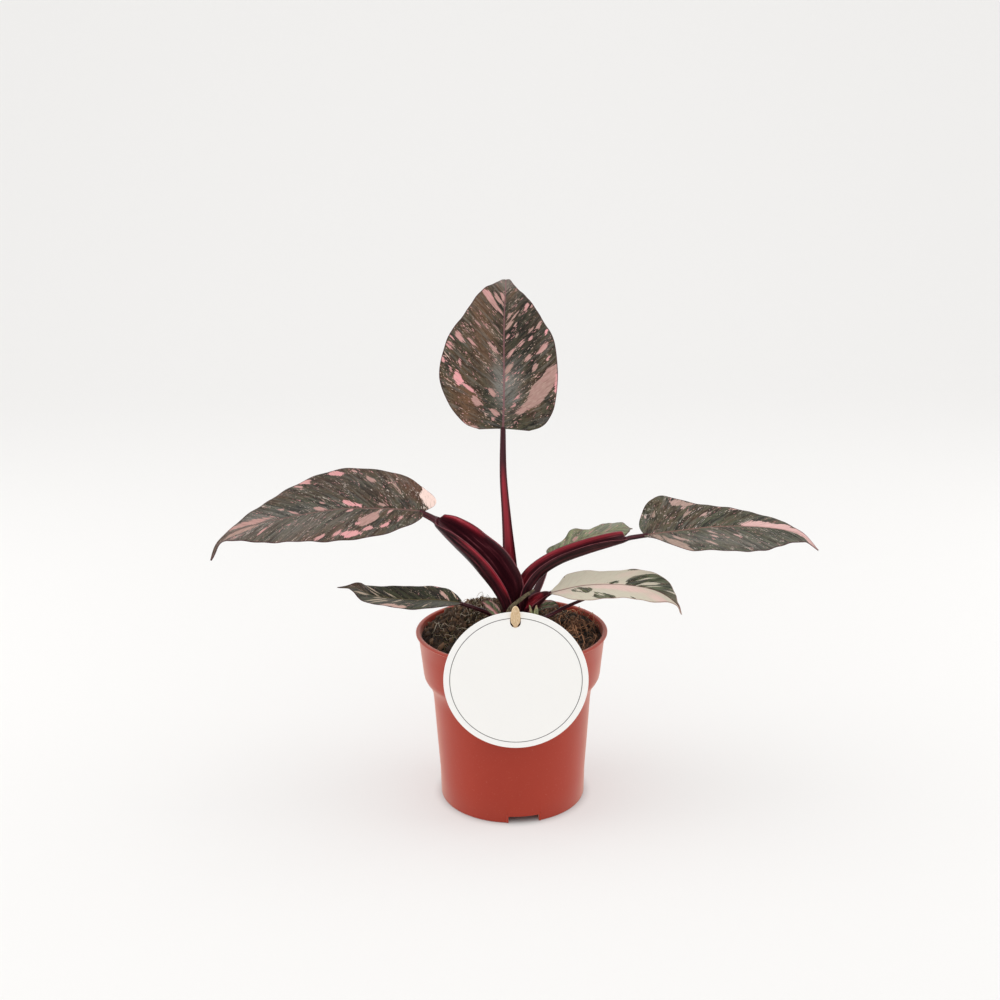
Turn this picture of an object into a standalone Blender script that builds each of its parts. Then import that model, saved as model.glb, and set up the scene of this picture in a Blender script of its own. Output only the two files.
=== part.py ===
# A pink princess philodendron in a nursery pot, with the round card that it is sold with.
# Every length below is in millimetres. The origin is the middle of the pot's underside, +Z is up
# and the card is on the -Y side.

import math

import bmesh
import bpy
from mathutils import Vector

MM = 0.001
GAP = 0.3
MERGE = 0.003

# Pot: a thin moulded cup with a wide collar, a rolled lip and three drain channels in its foot
POT_SIDES = 48
POT_WALL = 1.2
POT_FLOOR = 1.5
POT_OUTSIDE = (
    (46.0, 0), (46.4, 18), (48.0, 41), (49.6, 66), (50.2, 71), (51.6, 74.5), (54.2, 78.5),
    (55.7, 82.5), (57.1, 96), (58.3, 108.4), (60.0, 108.5), (60.0, 109.7), (59.6, 110.0),
)
POT_LIP_INSIDE = (57.3, 110.0)
CHANNEL_WIDTH = 19.0
CHANNEL_HEIGHT = 4.5
CHANNEL_START = 15.0
CHANNEL_END = 45.2
CHANNEL_TURNS = (-82.0, 38.0, 158.0)
DRAIN_RADIUS = 4.0
DRAIN_DISTANCE = 31.0

# Soil: peat and coir that fills the pot, heaped up behind and to the left of the stem
SOIL_SIDES = 40
SOIL_RINGS = 10
SOIL_EDGE_HEIGHT = 103.5
SOIL_DOME = 3.5
SOIL_HEAP = (-15.0, 21.0, 12.5, 13.0)
SOIL_COLLAR = (0.5, 0.5, 1.0, 13.0)
CRUMB_HEIGHT = 1.1

# Leaves: places along a blade, from the stalk (0) to the end of the drip tip (1), where its half
# widths are given, and how far the side veins run on towards the tip at each of those places
SPOTS = (0, 0.02, 0.05, 0.12, 0.22, 0.35, 0.5, 0.65, 0.8, 0.9, 0.96, 1)
VEIN_REACH = (-0.05, -0.04, -0.03, 0, 0.15, 0.3, 0.45, 0.6, 0.8, 1.0, 1.2, 1.2)
LOBE_SHARE = 0.14
BLADE_THICKNESS = 0.65
MIDRIB_DEPTH = 1.1
MIDRIB_SHARE = 0.07
ACROSS = (0, MIDRIB_SHARE, 0.38, 0.7, 1)

# Each blade: its midrib, which way its upper face looks at the base and at the tip, its half
# widths left and right of the midrib, its fold and its droop at the base and at the tip, and the
# number and height of the waves in its margins
BLADES = {
    "blade_top": dict(
        midrib=((-4.3, 9, 235.5), (-3.6, 12, 253), (-3.4, 18, 271), (-3.2, 27, 288.5),
                (-2.7, 39, 305), (-1.8, 54, 317), (-1.5, 68, 321.5), (-1.5, 77, 315)),
        facing=((0, -1, 0.1), (0, -0.5, 1)),
        left=(14.5, 22, 26.8, 34, 39.8, 35.6, 25.4, 16.5, 6.5, 2.2, 1.2, 0.5),
        right=(16, 22.8, 27, 31.2, 33, 31.4, 22.8, 13.2, 5, 2.0, 1.1, 0.5),
        lobes=(0, 0), fold=(8, 4), droop=(0.06, 0.10), waves=(3.0, 1.1, 0.9), rows=20,
    ),
    "blade_left": dict(
        midrib=((-54.4, -9, 188.8), (-72.3, -11, 190.8), (-100.7, -15, 192.1), (-128.4, -19, 189),
                (-156.3, -24, 183.9), (-172, -27, 176.8), (-178.2, -30, 165.4)),
        facing=((0, -0.5, 1), (0, -0.5, 1)),
        left=(8, 12, 16, 22, 27, 29.5, 23.5, 16, 8, 2, 1.2, 0.5),
        right=(20, 23, 27, 34, 36.8, 33, 26.8, 14.5, 5, 1.6, 1.2, 0.5),
        lobes=(1, 9), fold=(8, 2), droop=(0.05, 0.05), waves=(2.5, 1.2, 0.9), rows=20,
    ),
    "blade_right": dict(
        midrib=((84, 6, 168.3), (98, 4, 170.6), (125.6, 0, 174.7), (153, -4, 175.5),
                (175.4, -8, 172), (186.8, -11, 162.6)),
        facing=((0, -0.35, 1), (0, -0.35, 1)),
        left=(17, 22, 26, 29.8, 25, 19, 14.6, 12, 4.5, 1.8, 1.1, 0.5),
        right=(5, 7, 9.5, 17.5, 34, 35.5, 29, 19.5, 10, 3, 1.1, 0.5),
        lobes=(3.5, 1), fold=(22, 2), droop=(0.02, 0.05), waves=(2.5, 1.0, 0.9), rows=20,
    ),
    "blade_back": dict(
        midrib=((24.6, 28, 150.6), (37, 32, 154.7), (50, 37, 158.5), (62, 41, 160.4), (73, 45, 161.8),
                (80, 47, 161.2)),
        facing=((0, -0.1, 1), (0, -0.1, 1)),
        left=(3.5, 4.6, 5.5, 6.5, 8.5, 15.5, 10.5, 13, 10.5, 4, 1.2, 0.4),
        right=(3, 4.6, 6, 9, 10, 11, 12, 12, 8, 3, 1.2, 0.4),
        lobes=(1, 1), fold=(8, 2), droop=(0.02, 0.05), waves=(3.5, 0.6, 0.9), rows=16,
    ),
    "blade_low_left": dict(
        midrib=((-31.8, -8, 130), (-46, -9, 132), (-64, -10, 132.8), (-84, -12, 136), (-95, -13, 141.4),
                (-106, -14, 142.4)),
        facing=((0, -0.2, 1), (0, -0.2, 1)),
        left=(3, 5.5, 8.5, 12.5, 14.5, 15, 14.5, 12.5, 7, 1.6, 0.9, 0.4),
        right=(3, 5.5, 8, 12.5, 14, 12.8, 12, 11, 5.5, 2, 0.9, 0.4),
        lobes=(1, 1), fold=(14, 6), droop=(0.0, 0.0), waves=(2.0, 0.7, 0.9), rows=16,
    ),
    "blade_low_right": dict(
        midrib=((25, -8, 136), (45.5, -10, 141), (69, -13, 142), (88, -16, 139), (100, -18, 131.5),
                (103.5, -19, 125)),
        facing=((0, -0.2, 1), (0, -0.2, 1)),
        left=(2, 4.5, 7, 14.5, 17.2, 17, 19, 17.5, 9.5, 2.4, 0.8, 0.4),
        right=(2, 4.5, 7, 13.5, 19, 19.5, 18, 14, 6, 1.8, 0.8, 0.4),
        lobes=(1, 1), fold=(5, 2), droop=(0.0, 0.04), waves=(2.2, 0.9, 0.16), rows=16,
    ),
    "blade_hidden": dict(
        midrib=((47, 4, 128), (56, 9, 130.5), (67, 15, 132), (77, 20, 131.5), (82, 22, 129.5)),
        facing=((0, -0.1, 1), (0, -0.1, 1)),
        left=(1, 2, 3, 5, 6.5, 7, 6.5, 5, 3, 1.3, 0.8, 0.4),
        right=(1, 2, 3, 5, 6.5, 7, 6.5, 5, 3, 1.3, 0.8, 0.4),
        lobes=(0, 0), fold=(6, 3), droop=(0.0, 0.04), waves=(2.0, 0.6, 0.9), rows=10,
    ),
}

# Two small young leaves that stand on thin stalks of their own beside the stem
SMALL_LEAVES = {
    "leaf_small_left": dict(
        midrib=((-7, -14, 122.7), (-10, -14.5, 126.2), (-14, -15, 130.2), (-18, -15.5, 133.2)),
        facing=((0.6, -0.9, 0.8), (0.3, -0.9, 0.9)),
        left=(1, 1.4, 1.8, 2.6, 3.6, 4.2, 4.2, 3.4, 2, 1, 0.6, 0.4),
        right=(1, 1.4, 1.8, 2.6, 3.6, 4.2, 4.2, 3.4, 2, 1, 0.6, 0.4),
        lobes=(0, 0), fold=(16, 10), droop=(0.0, 0.0), waves=(1.5, 0.3, 0.9), rows=8,
        stalk=((-9, -14.5, 102), (-8.8, -14.5, 115), (-6.9, -14, 123.3)),
    ),
    "leaf_small_right": dict(
        midrib=((14.5, 5, 119.5), (19, 4, 122.5), (24, 2.5, 124), (29.5, 0.5, 124.2)),
        facing=((0, -0.5, 1), (0, -0.4, 1)),
        left=(1, 1.4, 1.8, 2.8, 3.8, 4.4, 4.4, 3.6, 2.2, 1, 0.6, 0.4),
        right=(1, 1.3, 1.6, 2.4, 3.2, 3.8, 3.8, 3.2, 2, 1, 0.6, 0.4),
        lobes=(0, 0), fold=(8, 6), droop=(0.0, 0.0), waves=(1.5, 0.3, 0.9), rows=8,
        stalk=((12.5, 5.5, 100), (12.8, 5.4, 112), (15, 4.9, 120.1)),
    ),
}
SMALL_STALK_RADIUS = 0.9
LEAF_HOLE_RADIUS = 1.3
SHOOT_HOLE_RADIUS = 1.9

# Stalks: each one's path, which way its groove opens, and at each point of the path its half
# width, how open its groove is (0 round, 1 a thin trough) and the height of its two wings
STALKS = {
    "top": dict(
        path=((0.8, 1.6, 112), (0.5, 4.5, 130), (-0.6, 4.5, 150), (-2.6, 5, 180), (-4.4, 6.5, 208),
              (-4.3, 9.4, 236.5)),
        opens=(0, -1, 0.1),
        half=(5.0, 5.0, 4.3, 2.9, 2.2, 1.6), open=(0, 0.5, 0.7, 0.7, 0.6, 0.2), wing=(0, 0, 0.6, 0.4, 0, 0),
    ),
    "left": dict(
        path=((0.4, -1.8, 112), (-0.8, -4, 125), (-5.9, -5.8, 139.5), (-14.6, -6.8, 154),
              (-25.2, -7.4, 166.8), (-36, -8, 176.6), (-42.6, -8.4, 181.4), (-46.5, -8.5, 184),
              (-55.5, -9, 188.6)),
        opens=(0.55, -0.45, 0.8), tip=6.15,
        half=(5, 5.3, 6.8, 8.2, 8.3, 6.8, 4.6, 2.7, 1.9), open=(0, 0.6, 1, 1, 1, 1, 0.9, 0.4, 0.1),
        wing=(0, 4, 6.5, 7.4, 6.6, 4.2, 0.9, 0, 0), far=(0, 2.5, 5.5, 4.2, 1.4, 1.8, 2.8, 0, 0),
    ),
    "right": dict(
        path=((2, 0, 112), (4.5, 0, 127), (9, 0, 138.5), (17, 1, 147.5), (29.5, 2, 155), (46, 3, 160.8),
              (61, 4, 164.8), (69, 4.6, 166.4), (74, 5, 167.2), (85, 6, 168.3)),
        opens=(-0.2, -0.15, 1), tip=7.3,
        half=(5, 5.6, 5.2, 4.6, 4.2, 4.0, 3.6, 2.9, 1.9, 1.5), open=(0, 0.5, 1, 1, 1, 1, 1, 0.9, 0.3, 0.1),
        wing=(0, 2.5, 4, 4.4, 4.4, 4.4, 4.2, 4, 0, 0), far=(0, -1, -1, -1, -1, -1, -2, -3.5, 0, 0),
    ),
    "back": dict(
        path=((3, 3, 112), (9, 7, 122), (16, 12, 131), (21.5, 20, 141), (25, 28.4, 150.4)),
        opens=(-0.4, -0.6, 0.7),
        half=(4, 3, 2.6, 2, 1.3), open=(0, 0.3, 0.6, 0.5, 0.1), wing=(0, 0, 0, 0, 0),
    ),
    "low_left": dict(
        path=((-2, -3, 112), (-8, -4, 119), (-19, -6, 124.8), (-32.6, -8, 129.9)),
        opens=(0, -0.2, 1),
        half=(4, 2.6, 1.8, 1.2), open=(0, 0.4, 0.4, 0.1), wing=(0, 0, 0, 0),
    ),
    "low_right": dict(
        path=((3, -3, 112), (8, -5, 122), (14, -7, 130), (20, -8, 134.5), (24.6, -8, 135.9)),
        opens=(-0.5, -0.3, 0.8),
        half=(5, 5.6, 5, 3, 1.2), open=(0, 0.5, 1, 0.9, 0.1), wing=(0, 0.5, 1.5, 0.6, 0),
    ),
    "hidden": dict(
        path=((4.5, -3.5, 114), (20.6, -10, 120.7), (33, -4, 125), (46.6, 3.7, 127.9)),
        opens=(0, -0.2, 1),
        half=(2.5, 1.5, 1.3, 1.0), open=(0, 0.2, 0.3, 0.1), wing=(0, 0, 0, 0),
    ),
}
STALK_STEPS = 2
SHEATH_WALL = 1.1
WING_END = 0.2
STEM_PATH = ((0.5, 0.5, 70), (0.5, 0.5, 95), (0.5, 0.5, 113), (1, 1, 126))
STEM_RADII = (5.0, 6.4, 6.6, 4.0)
STEM_HOLE_RADIUS = 8.0
ABOVE_SOIL = 140.0

# New shoot in front of the stem, and the dry sheath of an old shoot, curled up over the stalks
SHOOT_PATH = ((13.8, -15, 102), (14.2, -15.5, 118), (14.8, -15.3, 125), (15.2, -15, 130))
SHOOT_RADII = (1.2, 1.3, 1.6, 0.4)
SHEATH = dict(
    path=((-4, -9.5, 102), (-4, -11.5, 116), (-1.6, -12.5, 126), (4, -13, 131.8), (9.6, -12, 136),
          (14, -10.5, 138.6)),
    opens=(-0.4, 0.2, -0.9),
    half=(1.2, 1.3, 1.5, 1.5, 1.2, 0.6), open=(0, 0.5, 0.8, 0.8, 0.7, 0.3), wing=(0, 0, 0, 0, 0, 0),
)

# Card: a round card with one slot, hung on a flat wooden stick that stands in the soil. The slot
# has its own corner radius above and below, and the stick its half width at each distance from
# its top
CARD_RADIUS = 42.2
CARD_THICKNESS = 0.8
CARD_CENTRE = (1.8, -60.75, 99.8)
CARD_SIDES = 64
SLOT_CENTRE = (1.7, -60.75, 135.9)
SLOT_SIZE = (6.5, 7.0)
SLOT_CORNERS = (1.0, 3.0)
STICK_HALF_WIDTHS = (
    (0, 0.5), (0.4, 1.0), (1.0, 1.45), (2.2, 1.95), (4.5, 2.45), (7, 2.8), (9.5, 2.85), (11.3, 2.6),
    (12.4, 2.15), (13.4, 1.6), (14.4, 1.2), (57.2, 1.1), (58.5, 0.4),
)
STICK_THICKNESS = 1.4
STICK_LEAN = 21.0
STICK_ABOVE_SLOT = 11.5


def clear_scene():
    for thing in list(bpy.data.objects):
        bpy.data.objects.remove(thing)


def material(name, colour, roughness):
    made = bpy.data.materials.new(name)
    made.use_nodes = True
    shader = made.node_tree.nodes["Principled BSDF"]
    shader.inputs["Base Color"].default_value = (*colour, 1)
    shader.inputs["Roughness"].default_value = roughness
    shader.inputs["Metallic"].default_value = 0
    return made


def solid(name, points, faces, finish=None):
    """One object from points in millimetres and faces that turn outwards."""
    mesh = bpy.data.meshes.new(name)
    mesh.from_pydata([Vector(p) * MM for p in points], [], faces)
    made = bpy.data.objects.new(name, mesh)
    bpy.context.scene.collection.objects.link(made)
    if finish:
        mesh.materials.append(finish)
    return made


def shade(thing, angle=40):
    thing.data.shade_smooth()
    thing.data.set_sharp_from_angle(angle=math.radians(angle))


def smooth_point(points, share):
    """A point on the smooth curve through points, at that share of their count."""
    last = len(points) - 1
    place = min(max(share * last, 0), last - 1e-6)
    start = int(place)
    step = place - start
    here, there = Vector(points[start]), Vector(points[start + 1])
    before = Vector(points[start - 1]) if start > 0 else 2 * here - there
    after = Vector(points[start + 2]) if start + 2 <= last else 2 * there - here
    return 0.5 * (2 * here + (there - before) * step + (2 * before - 5 * here + 4 * there - after) * step**2
                  + (3 * here - before - 3 * there + after) * step**3)


def path_direction(points, share):
    ahead, behind = (smooth_point(points, min(max(share + step, 0), 1)) for step in (0.01, -0.01))
    return (ahead - behind).normalized()


def smooth_value(spots, values, place):
    """A value between those given at spots, with no overshoot."""
    place = min(max(place, spots[0]), spots[-1])
    i = max(k for k in range(len(spots) - 1) if spots[k] <= place)
    slopes = [(values[k + 1] - values[k]) / (spots[k + 1] - spots[k]) for k in range(len(spots) - 1)]

    def tangent(k):
        if k == 0:
            return slopes[0]
        if k == len(slopes):
            return slopes[-1]
        if slopes[k - 1] * slopes[k] <= 0:
            return 0
        return 2 * slopes[k - 1] * slopes[k] / (slopes[k - 1] + slopes[k])

    width = spots[i + 1] - spots[i]
    s = (place - spots[i]) / width
    return ((2 * s**3 - 3 * s**2 + 1) * values[i] + (s**3 - 2 * s**2 + s) * width * tangent(i)
            + (3 * s**2 - 2 * s**3) * values[i + 1] + (s**3 - s**2) * width * tangent(i + 1))


def mix(pair, share):
    return pair[0] * (1 - share) + pair[1] * share


def even_curve(points, count=200):
    """Points an equal distance apart along the smooth curve, and its length."""
    fine = [smooth_point(points, k / count) for k in range(count + 1)]
    reach = [0]
    for a, b in zip(fine, fine[1:]):
        reach.append(reach[-1] + (b - a).length)

    def at(share):
        wanted = min(max(share, 0), 1) * reach[-1]
        k = next((i for i in range(1, count) if reach[i] >= wanted), count)
        part = (wanted - reach[k - 1]) / (reach[k] - reach[k - 1])
        return fine[k - 1].lerp(fine[k], part)

    return at, reach[-1]


def blade_surface(leaf):
    """The middle surface of a blade as a function of the share along its midrib and the share
    of its half width, from -1 at its right margin to 1 at its left one."""
    at, length = even_curve(leaf["midrib"])
    facing = [Vector(f) for f in leaf["facing"]]
    count, height, phase = leaf["waves"]

    def point(along, across):
        middle = at(along)
        forward = (at(along + 0.01) - at(along - 0.01)).normalized()
        up = facing[0].lerp(facing[1], along)
        up = (up - up.dot(forward) * forward).normalized()
        left = up.cross(forward)
        turn = 1 if across >= 0 else -1
        side = leaf["left"] if across >= 0 else leaf["right"]
        width = smooth_value(SPOTS, side, along)
        out = abs(across)
        fold = math.radians(mix(leaf["fold"], 1 - (1 - along) ** 2))
        wave = math.sin(math.tau * count * along + (phase if turn > 0 else phase + 1.7))
        wave *= height * min(1, width / 12) * out**2
        reach = width * smooth_value(SPOTS, VEIN_REACH, along) * out**1.4
        lobe = leaf["lobes"][0 if turn > 0 else 1] * max(0, 1 - along / LOBE_SHARE) ** 2
        reach -= lobe * math.sin(math.pi * out**0.8)
        lift = width * out * math.sin(fold) - mix(leaf["droop"], along) * width * out**2 + wave
        return middle + forward * reach + left * turn * width * out * math.cos(fold) + up * lift

    return point


def blade(name, leaf, finish=None, grow=0.0):
    """A closed blade, split into the same triangles above and below, thicker along its midrib."""
    point = blade_surface(leaf)
    rows = leaf["rows"]
    across = [-s for s in reversed(ACROSS[1:])] + list(ACROSS)
    top, bottom = [], []
    for row in range(rows + 1):
        along = row / rows
        for s in across:
            here = point(along, s)
            ahead = point(min(along + 0.004, 1), s) - point(max(along - 0.004, 0), s)
            aside = point(along, min(s + 0.02, 1)) - point(along, max(s - 0.02, -1))
            up = aside.cross(ahead).normalized() * -1
            if s in (1, -1):
                here = here + aside.normalized() * grow * s
            if row == 0:
                here = here - ahead.normalized() * grow
            rib = MIDRIB_DEPTH * (1 - 0.85 * along) if s == 0 else 0
            top.append(here + up * (BLADE_THICKNESS / 2 + grow))
            bottom.append(here - up * (BLADE_THICKNESS / 2 + rib + grow))
    columns = len(across)
    total = len(top)
    faces = []
    for row in range(rows):
        for c in range(columns - 1):
            a, b = row * columns + c, row * columns + c + 1
            d, e = a + columns, b + columns
            if (row + c) % 2:
                pair = ((a, b, e), (a, e, d))
            else:
                pair = ((a, b, d), (b, e, d))
            for tri in pair:
                faces.append(tri)
                faces.append(tuple(total + k for k in reversed(tri)))
    rim = [r * columns for r in range(rows + 1)]
    rim += [rows * columns + c for c in range(1, columns)]
    rim += [r * columns + columns - 1 for r in range(rows - 1, -1, -1)]
    rim += list(range(columns - 2, 0, -1))
    for a, b in zip(rim, rim[1:] + rim[:1]):
        faces.append((a, b, total + b))
        faces.append((a, total + b, total + a))
    made = solid(name, top + bottom, faces, finish)
    fix_direction(made)
    shade(made, 60)
    return made


def fix_direction(thing):
    shape = bmesh.new()
    shape.from_mesh(thing.data)
    bmesh.ops.recalc_face_normals(shape, faces=shape.faces)
    if shape.calc_volume(signed=True) < 0:
        bmesh.ops.reverse_faces(shape, faces=shape.faces)
    shape.to_mesh(thing.data)
    shape.free()


def stalk_section(half, openness, near, far):
    """Twelve points round a stalk: an outer arc from wing to wing, then back along its groove."""
    outer, inner = [], []
    for k in range(7):
        turn = math.pi + k * math.pi / 6
        rise = (far if math.cos(turn) > 0 else near) * abs(math.cos(turn)) ** 3
        outer.append((half * math.cos(turn), half * math.sin(turn) + rise))
        depth = max(half - SHEATH_WALL, 0.3 * half)
        trough = depth * math.sin(turn) + rise
        dome = -half * math.sin(turn)
        x = mix((half, depth), openness) * math.cos(turn)
        inner.append((x, mix((dome, trough), openness)))
    return outer + list(reversed(inner[1:-1]))


def stalk(name, leaf):
    """A closed stalk lofted along its path."""
    last = len(leaf["path"]) - 1
    steps = last * STALK_STEPS
    spots = list(range(last + 1))
    tip = leaf.get("tip", last)
    higher = leaf.get("far", (0,) * (last + 1))
    points = []
    for step in range(steps + 1):
        share = step / steps
        middle = smooth_point(leaf["path"], share)
        forward = path_direction(leaf["path"], share)
        up = Vector(leaf["opens"])
        up = (up - up.dot(forward) * forward).normalized()
        side = forward.cross(up)
        place = share * last
        half, openness = [smooth_value(spots, leaf[key], place) for key in ("half", "open")]
        left = max(0, 1 - max(0, place - tip) / WING_END)
        near = smooth_value(spots, leaf["wing"], place) * left
        far = near + smooth_value(spots, higher, place) * left
        section = stalk_section(half, openness, near, far)
        points += [middle + side * x + up * y for x, y in section]
    faces = []
    for step in range(steps):
        for k in range(12):
            a, b = step * 12 + k, step * 12 + (k + 1) % 12
            faces.append((a, b, b + 12))
            faces.append((a, b + 12, a + 12))
    for base, turned in ((0, True), (steps * 12, False)):
        strip = [(0, 1, 11), (5, 6, 7)] + [(k, k + 1, 11 - k) for k in range(1, 5)]
        strip += [(k, 11 - k, 12 - k) for k in range(1, 5)]
        for tri in strip:
            tri = tuple(base + k for k in tri)
            faces.append(tuple(reversed(tri)) if turned else tri)
    made = solid(name, points, faces)
    fix_direction(made)
    return made


def tube(name, path, radii, sides=12, finish=None):
    """A round solid along a path, with its own radius at each point."""
    last = len(path) - 1
    steps = last * STALK_STEPS
    points, faces = [], []
    for step in range(steps + 1):
        share = step / steps
        middle = smooth_point(path, share)
        forward = path_direction(path, share)
        side = forward.orthogonal().normalized()
        other = forward.cross(side)
        radius = smooth_value(list(range(last + 1)), radii, share * last)
        for k in range(sides):
            turn = math.tau * k / sides
            points.append(middle + side * radius * math.cos(turn) + other * radius * math.sin(turn))
    for step in range(steps):
        for k in range(sides):
            a, b = step * sides + k, step * sides + (k + 1) % sides
            faces.append((a, b, b + sides, a + sides))
    faces.append(tuple(reversed(range(sides))))
    faces.append(tuple(steps * sides + k for k in range(sides)))
    made = solid(name, points, faces, finish)
    fix_direction(made)
    shade(made)
    return made


def turned(name, profile, sides, finish=None):
    """A solid of revolution. The profile starts and ends on the axis."""
    points, rings = [], []
    for radius, height in profile:
        if radius == 0:
            rings.append([len(points)] * sides)
            points.append((0, 0, height))
        else:
            rings.append([len(points) + k for k in range(sides)])
            for k in range(sides):
                turn = math.tau * (k + 0.5) / sides
                points.append((radius * math.cos(turn), radius * math.sin(turn), height))
    faces = []
    for low, high in zip(rings, rings[1:]):
        for k in range(sides):
            n = (k + 1) % sides
            corners = [low[k], low[n], high[n], high[k]]
            face = [c for i, c in enumerate(corners) if c != corners[i - 1]]
            faces.append(tuple(face))
    made = solid(name, points, faces, finish)
    fix_direction(made)
    return made


def box(name, low, high, turn=0.0):
    """A block between two corners, turned about the Z axis."""
    c, s = math.cos(math.radians(turn)), math.sin(math.radians(turn))
    points = []
    for z in (low[2], high[2]):
        for x, y in ((low[0], low[1]), (high[0], low[1]), (high[0], high[1]), (low[0], high[1])):
            points.append((x * c - y * s, x * s + y * c, z))
    faces = [(3, 2, 1, 0), (4, 5, 6, 7), (0, 1, 5, 4), (1, 2, 6, 5), (2, 3, 7, 6), (3, 0, 4, 7)]
    return solid(name, points, faces)


def rod(name, centre, radius, low, high, sides=16):
    points, faces = [], []
    for z in (low, high):
        for k in range(sides):
            turn = math.tau * (k + 0.5) / sides
            points.append((centre[0] + radius * math.cos(turn), centre[1] + radius * math.sin(turn), z))
    for k in range(sides):
        n = (k + 1) % sides
        faces.append((k, n, n + sides, k + sides))
    faces.append(tuple(reversed(range(sides))))
    faces.append(tuple(range(sides, 2 * sides)))
    return solid(name, points, faces)


def combine(thing, others, operation):
    """Joins the others to a thing, or cuts them out of it, and removes them."""
    group = bpy.data.collections.new(thing.name + "_" + operation.lower())
    bpy.context.scene.collection.children.link(group)
    for other in others:
        bpy.context.scene.collection.objects.unlink(other)
        group.objects.link(other)
    modifier = thing.modifiers.new(operation, "BOOLEAN")
    modifier.operation = operation
    modifier.operand_type = "COLLECTION"
    modifier.collection = group
    modifier.solver = "EXACT"
    modifier.use_self = operation == "UNION"
    bpy.context.view_layer.update()
    result = bpy.data.meshes.new_from_object(thing.evaluated_get(bpy.context.evaluated_depsgraph_get()))
    thing.modifiers.remove(modifier)
    thing.data = result
    for other in others:
        bpy.data.objects.remove(other)
    bpy.data.collections.remove(group)


def tidy(thing, finish, angle=40):
    """Joins points that all but touch, splits faces into triangles and sets the finish."""
    shape = bmesh.new()
    shape.from_mesh(thing.data)
    bmesh.ops.remove_doubles(shape, verts=shape.verts, dist=MERGE * MM)
    bmesh.ops.dissolve_degenerate(shape, edges=shape.edges, dist=MERGE * MM)
    bmesh.ops.triangulate(shape, faces=shape.faces)
    shape.to_mesh(thing.data)
    shape.free()
    thing.data.materials.clear()
    thing.data.materials.append(finish)
    for face in thing.data.polygons:
        face.material_index = 0
    shade(thing, angle)


def keep_largest(thing):
    """Drops the loose scraps that a cut leaves beside a piece."""
    shape = bmesh.new()
    shape.from_mesh(thing.data)
    shape.verts.ensure_lookup_table()
    unseen = set(shape.verts)
    groups = []
    while unseen:
        group, edge = set(), [next(iter(unseen))]
        while edge:
            vertex = edge.pop()
            if vertex in group:
                continue
            group.add(vertex)
            edge += [e.other_vert(vertex) for e in vertex.link_edges]
        unseen -= group
        groups.append(group)
    largest = max(groups, key=len)
    scraps = [vertex for group in groups if group is not largest for vertex in group]
    bmesh.ops.delete(shape, geom=scraps, context="VERTS")
    shape.to_mesh(thing.data)
    shape.free()


def pot_inside():
    """The inner wall, from the lip down to the floor's edge."""
    wall = [(r - POT_WALL, z) for r, z in POT_OUTSIDE if POT_FLOOR + 1 < z < 108]
    foot = (POT_OUTSIDE[0][0] - POT_WALL, POT_FLOOR)
    return [POT_LIP_INSIDE, (POT_OUTSIDE[-4][0] - POT_WALL, 108.0)] + list(reversed(wall)) + [foot]


def channel_blocks(name, spread, top):
    """One block over each drain channel, its sides and top moved out by the spread."""
    return [
        box(f"{name}_{k}", (CHANNEL_START - spread, -CHANNEL_WIDTH / 2 - spread, -1 if top else 0.5),
            (CHANNEL_END, CHANNEL_WIDTH / 2 + spread, CHANNEL_HEIGHT + spread), turn)
        for k, turn in enumerate(CHANNEL_TURNS)
    ]


def make_pot(finish):
    profile = [(0, 0)] + list(POT_OUTSIDE) + pot_inside() + [(0, POT_FLOOR)]
    pot = turned("pot", profile, POT_SIDES)
    combine(pot, channel_blocks("roof", POT_WALL, False), "UNION")
    low, high = (CHANNEL_START, -CHANNEL_WIDTH / 2, -1), (60, CHANNEL_WIDTH / 2, CHANNEL_HEIGHT)
    cutters = [box(f"channel_{k}", low, high, turn) for k, turn in enumerate(CHANNEL_TURNS)]
    for k, turn in enumerate(CHANNEL_TURNS):
        for offset in (0, 60):
            a = math.radians(turn + offset)
            centre = (DRAIN_DISTANCE * math.cos(a), DRAIN_DISTANCE * math.sin(a))
            cutters.append(rod(f"drain_{k}_{offset}", centre, DRAIN_RADIUS, -1, 7, 12))
    combine(pot, cutters, "DIFFERENCE")
    tidy(pot, finish, 35)
    return pot


def soil_height(x, y):
    far = math.hypot(x, y)
    height = SOIL_EDGE_HEIGHT + SOIL_DOME * (1 - (far / 57) ** 2)
    for cx, cy, rise, spread in (SOIL_HEAP, SOIL_COLLAR):
        height += rise * math.exp(-((x - cx) ** 2 + (y - cy) ** 2) / (2 * spread**2))
    crumb = math.sin(0.61 * x + 1.3) * math.sin(0.57 * y + 0.4) + 0.7 * math.sin(0.93 * x - 0.71 * y)
    crumb += 0.6 * math.sin(1.37 * y + 0.55 * x + 2.0)
    return height + CRUMB_HEIGHT * crumb * min(1, (57 - far) / 5)


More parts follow.
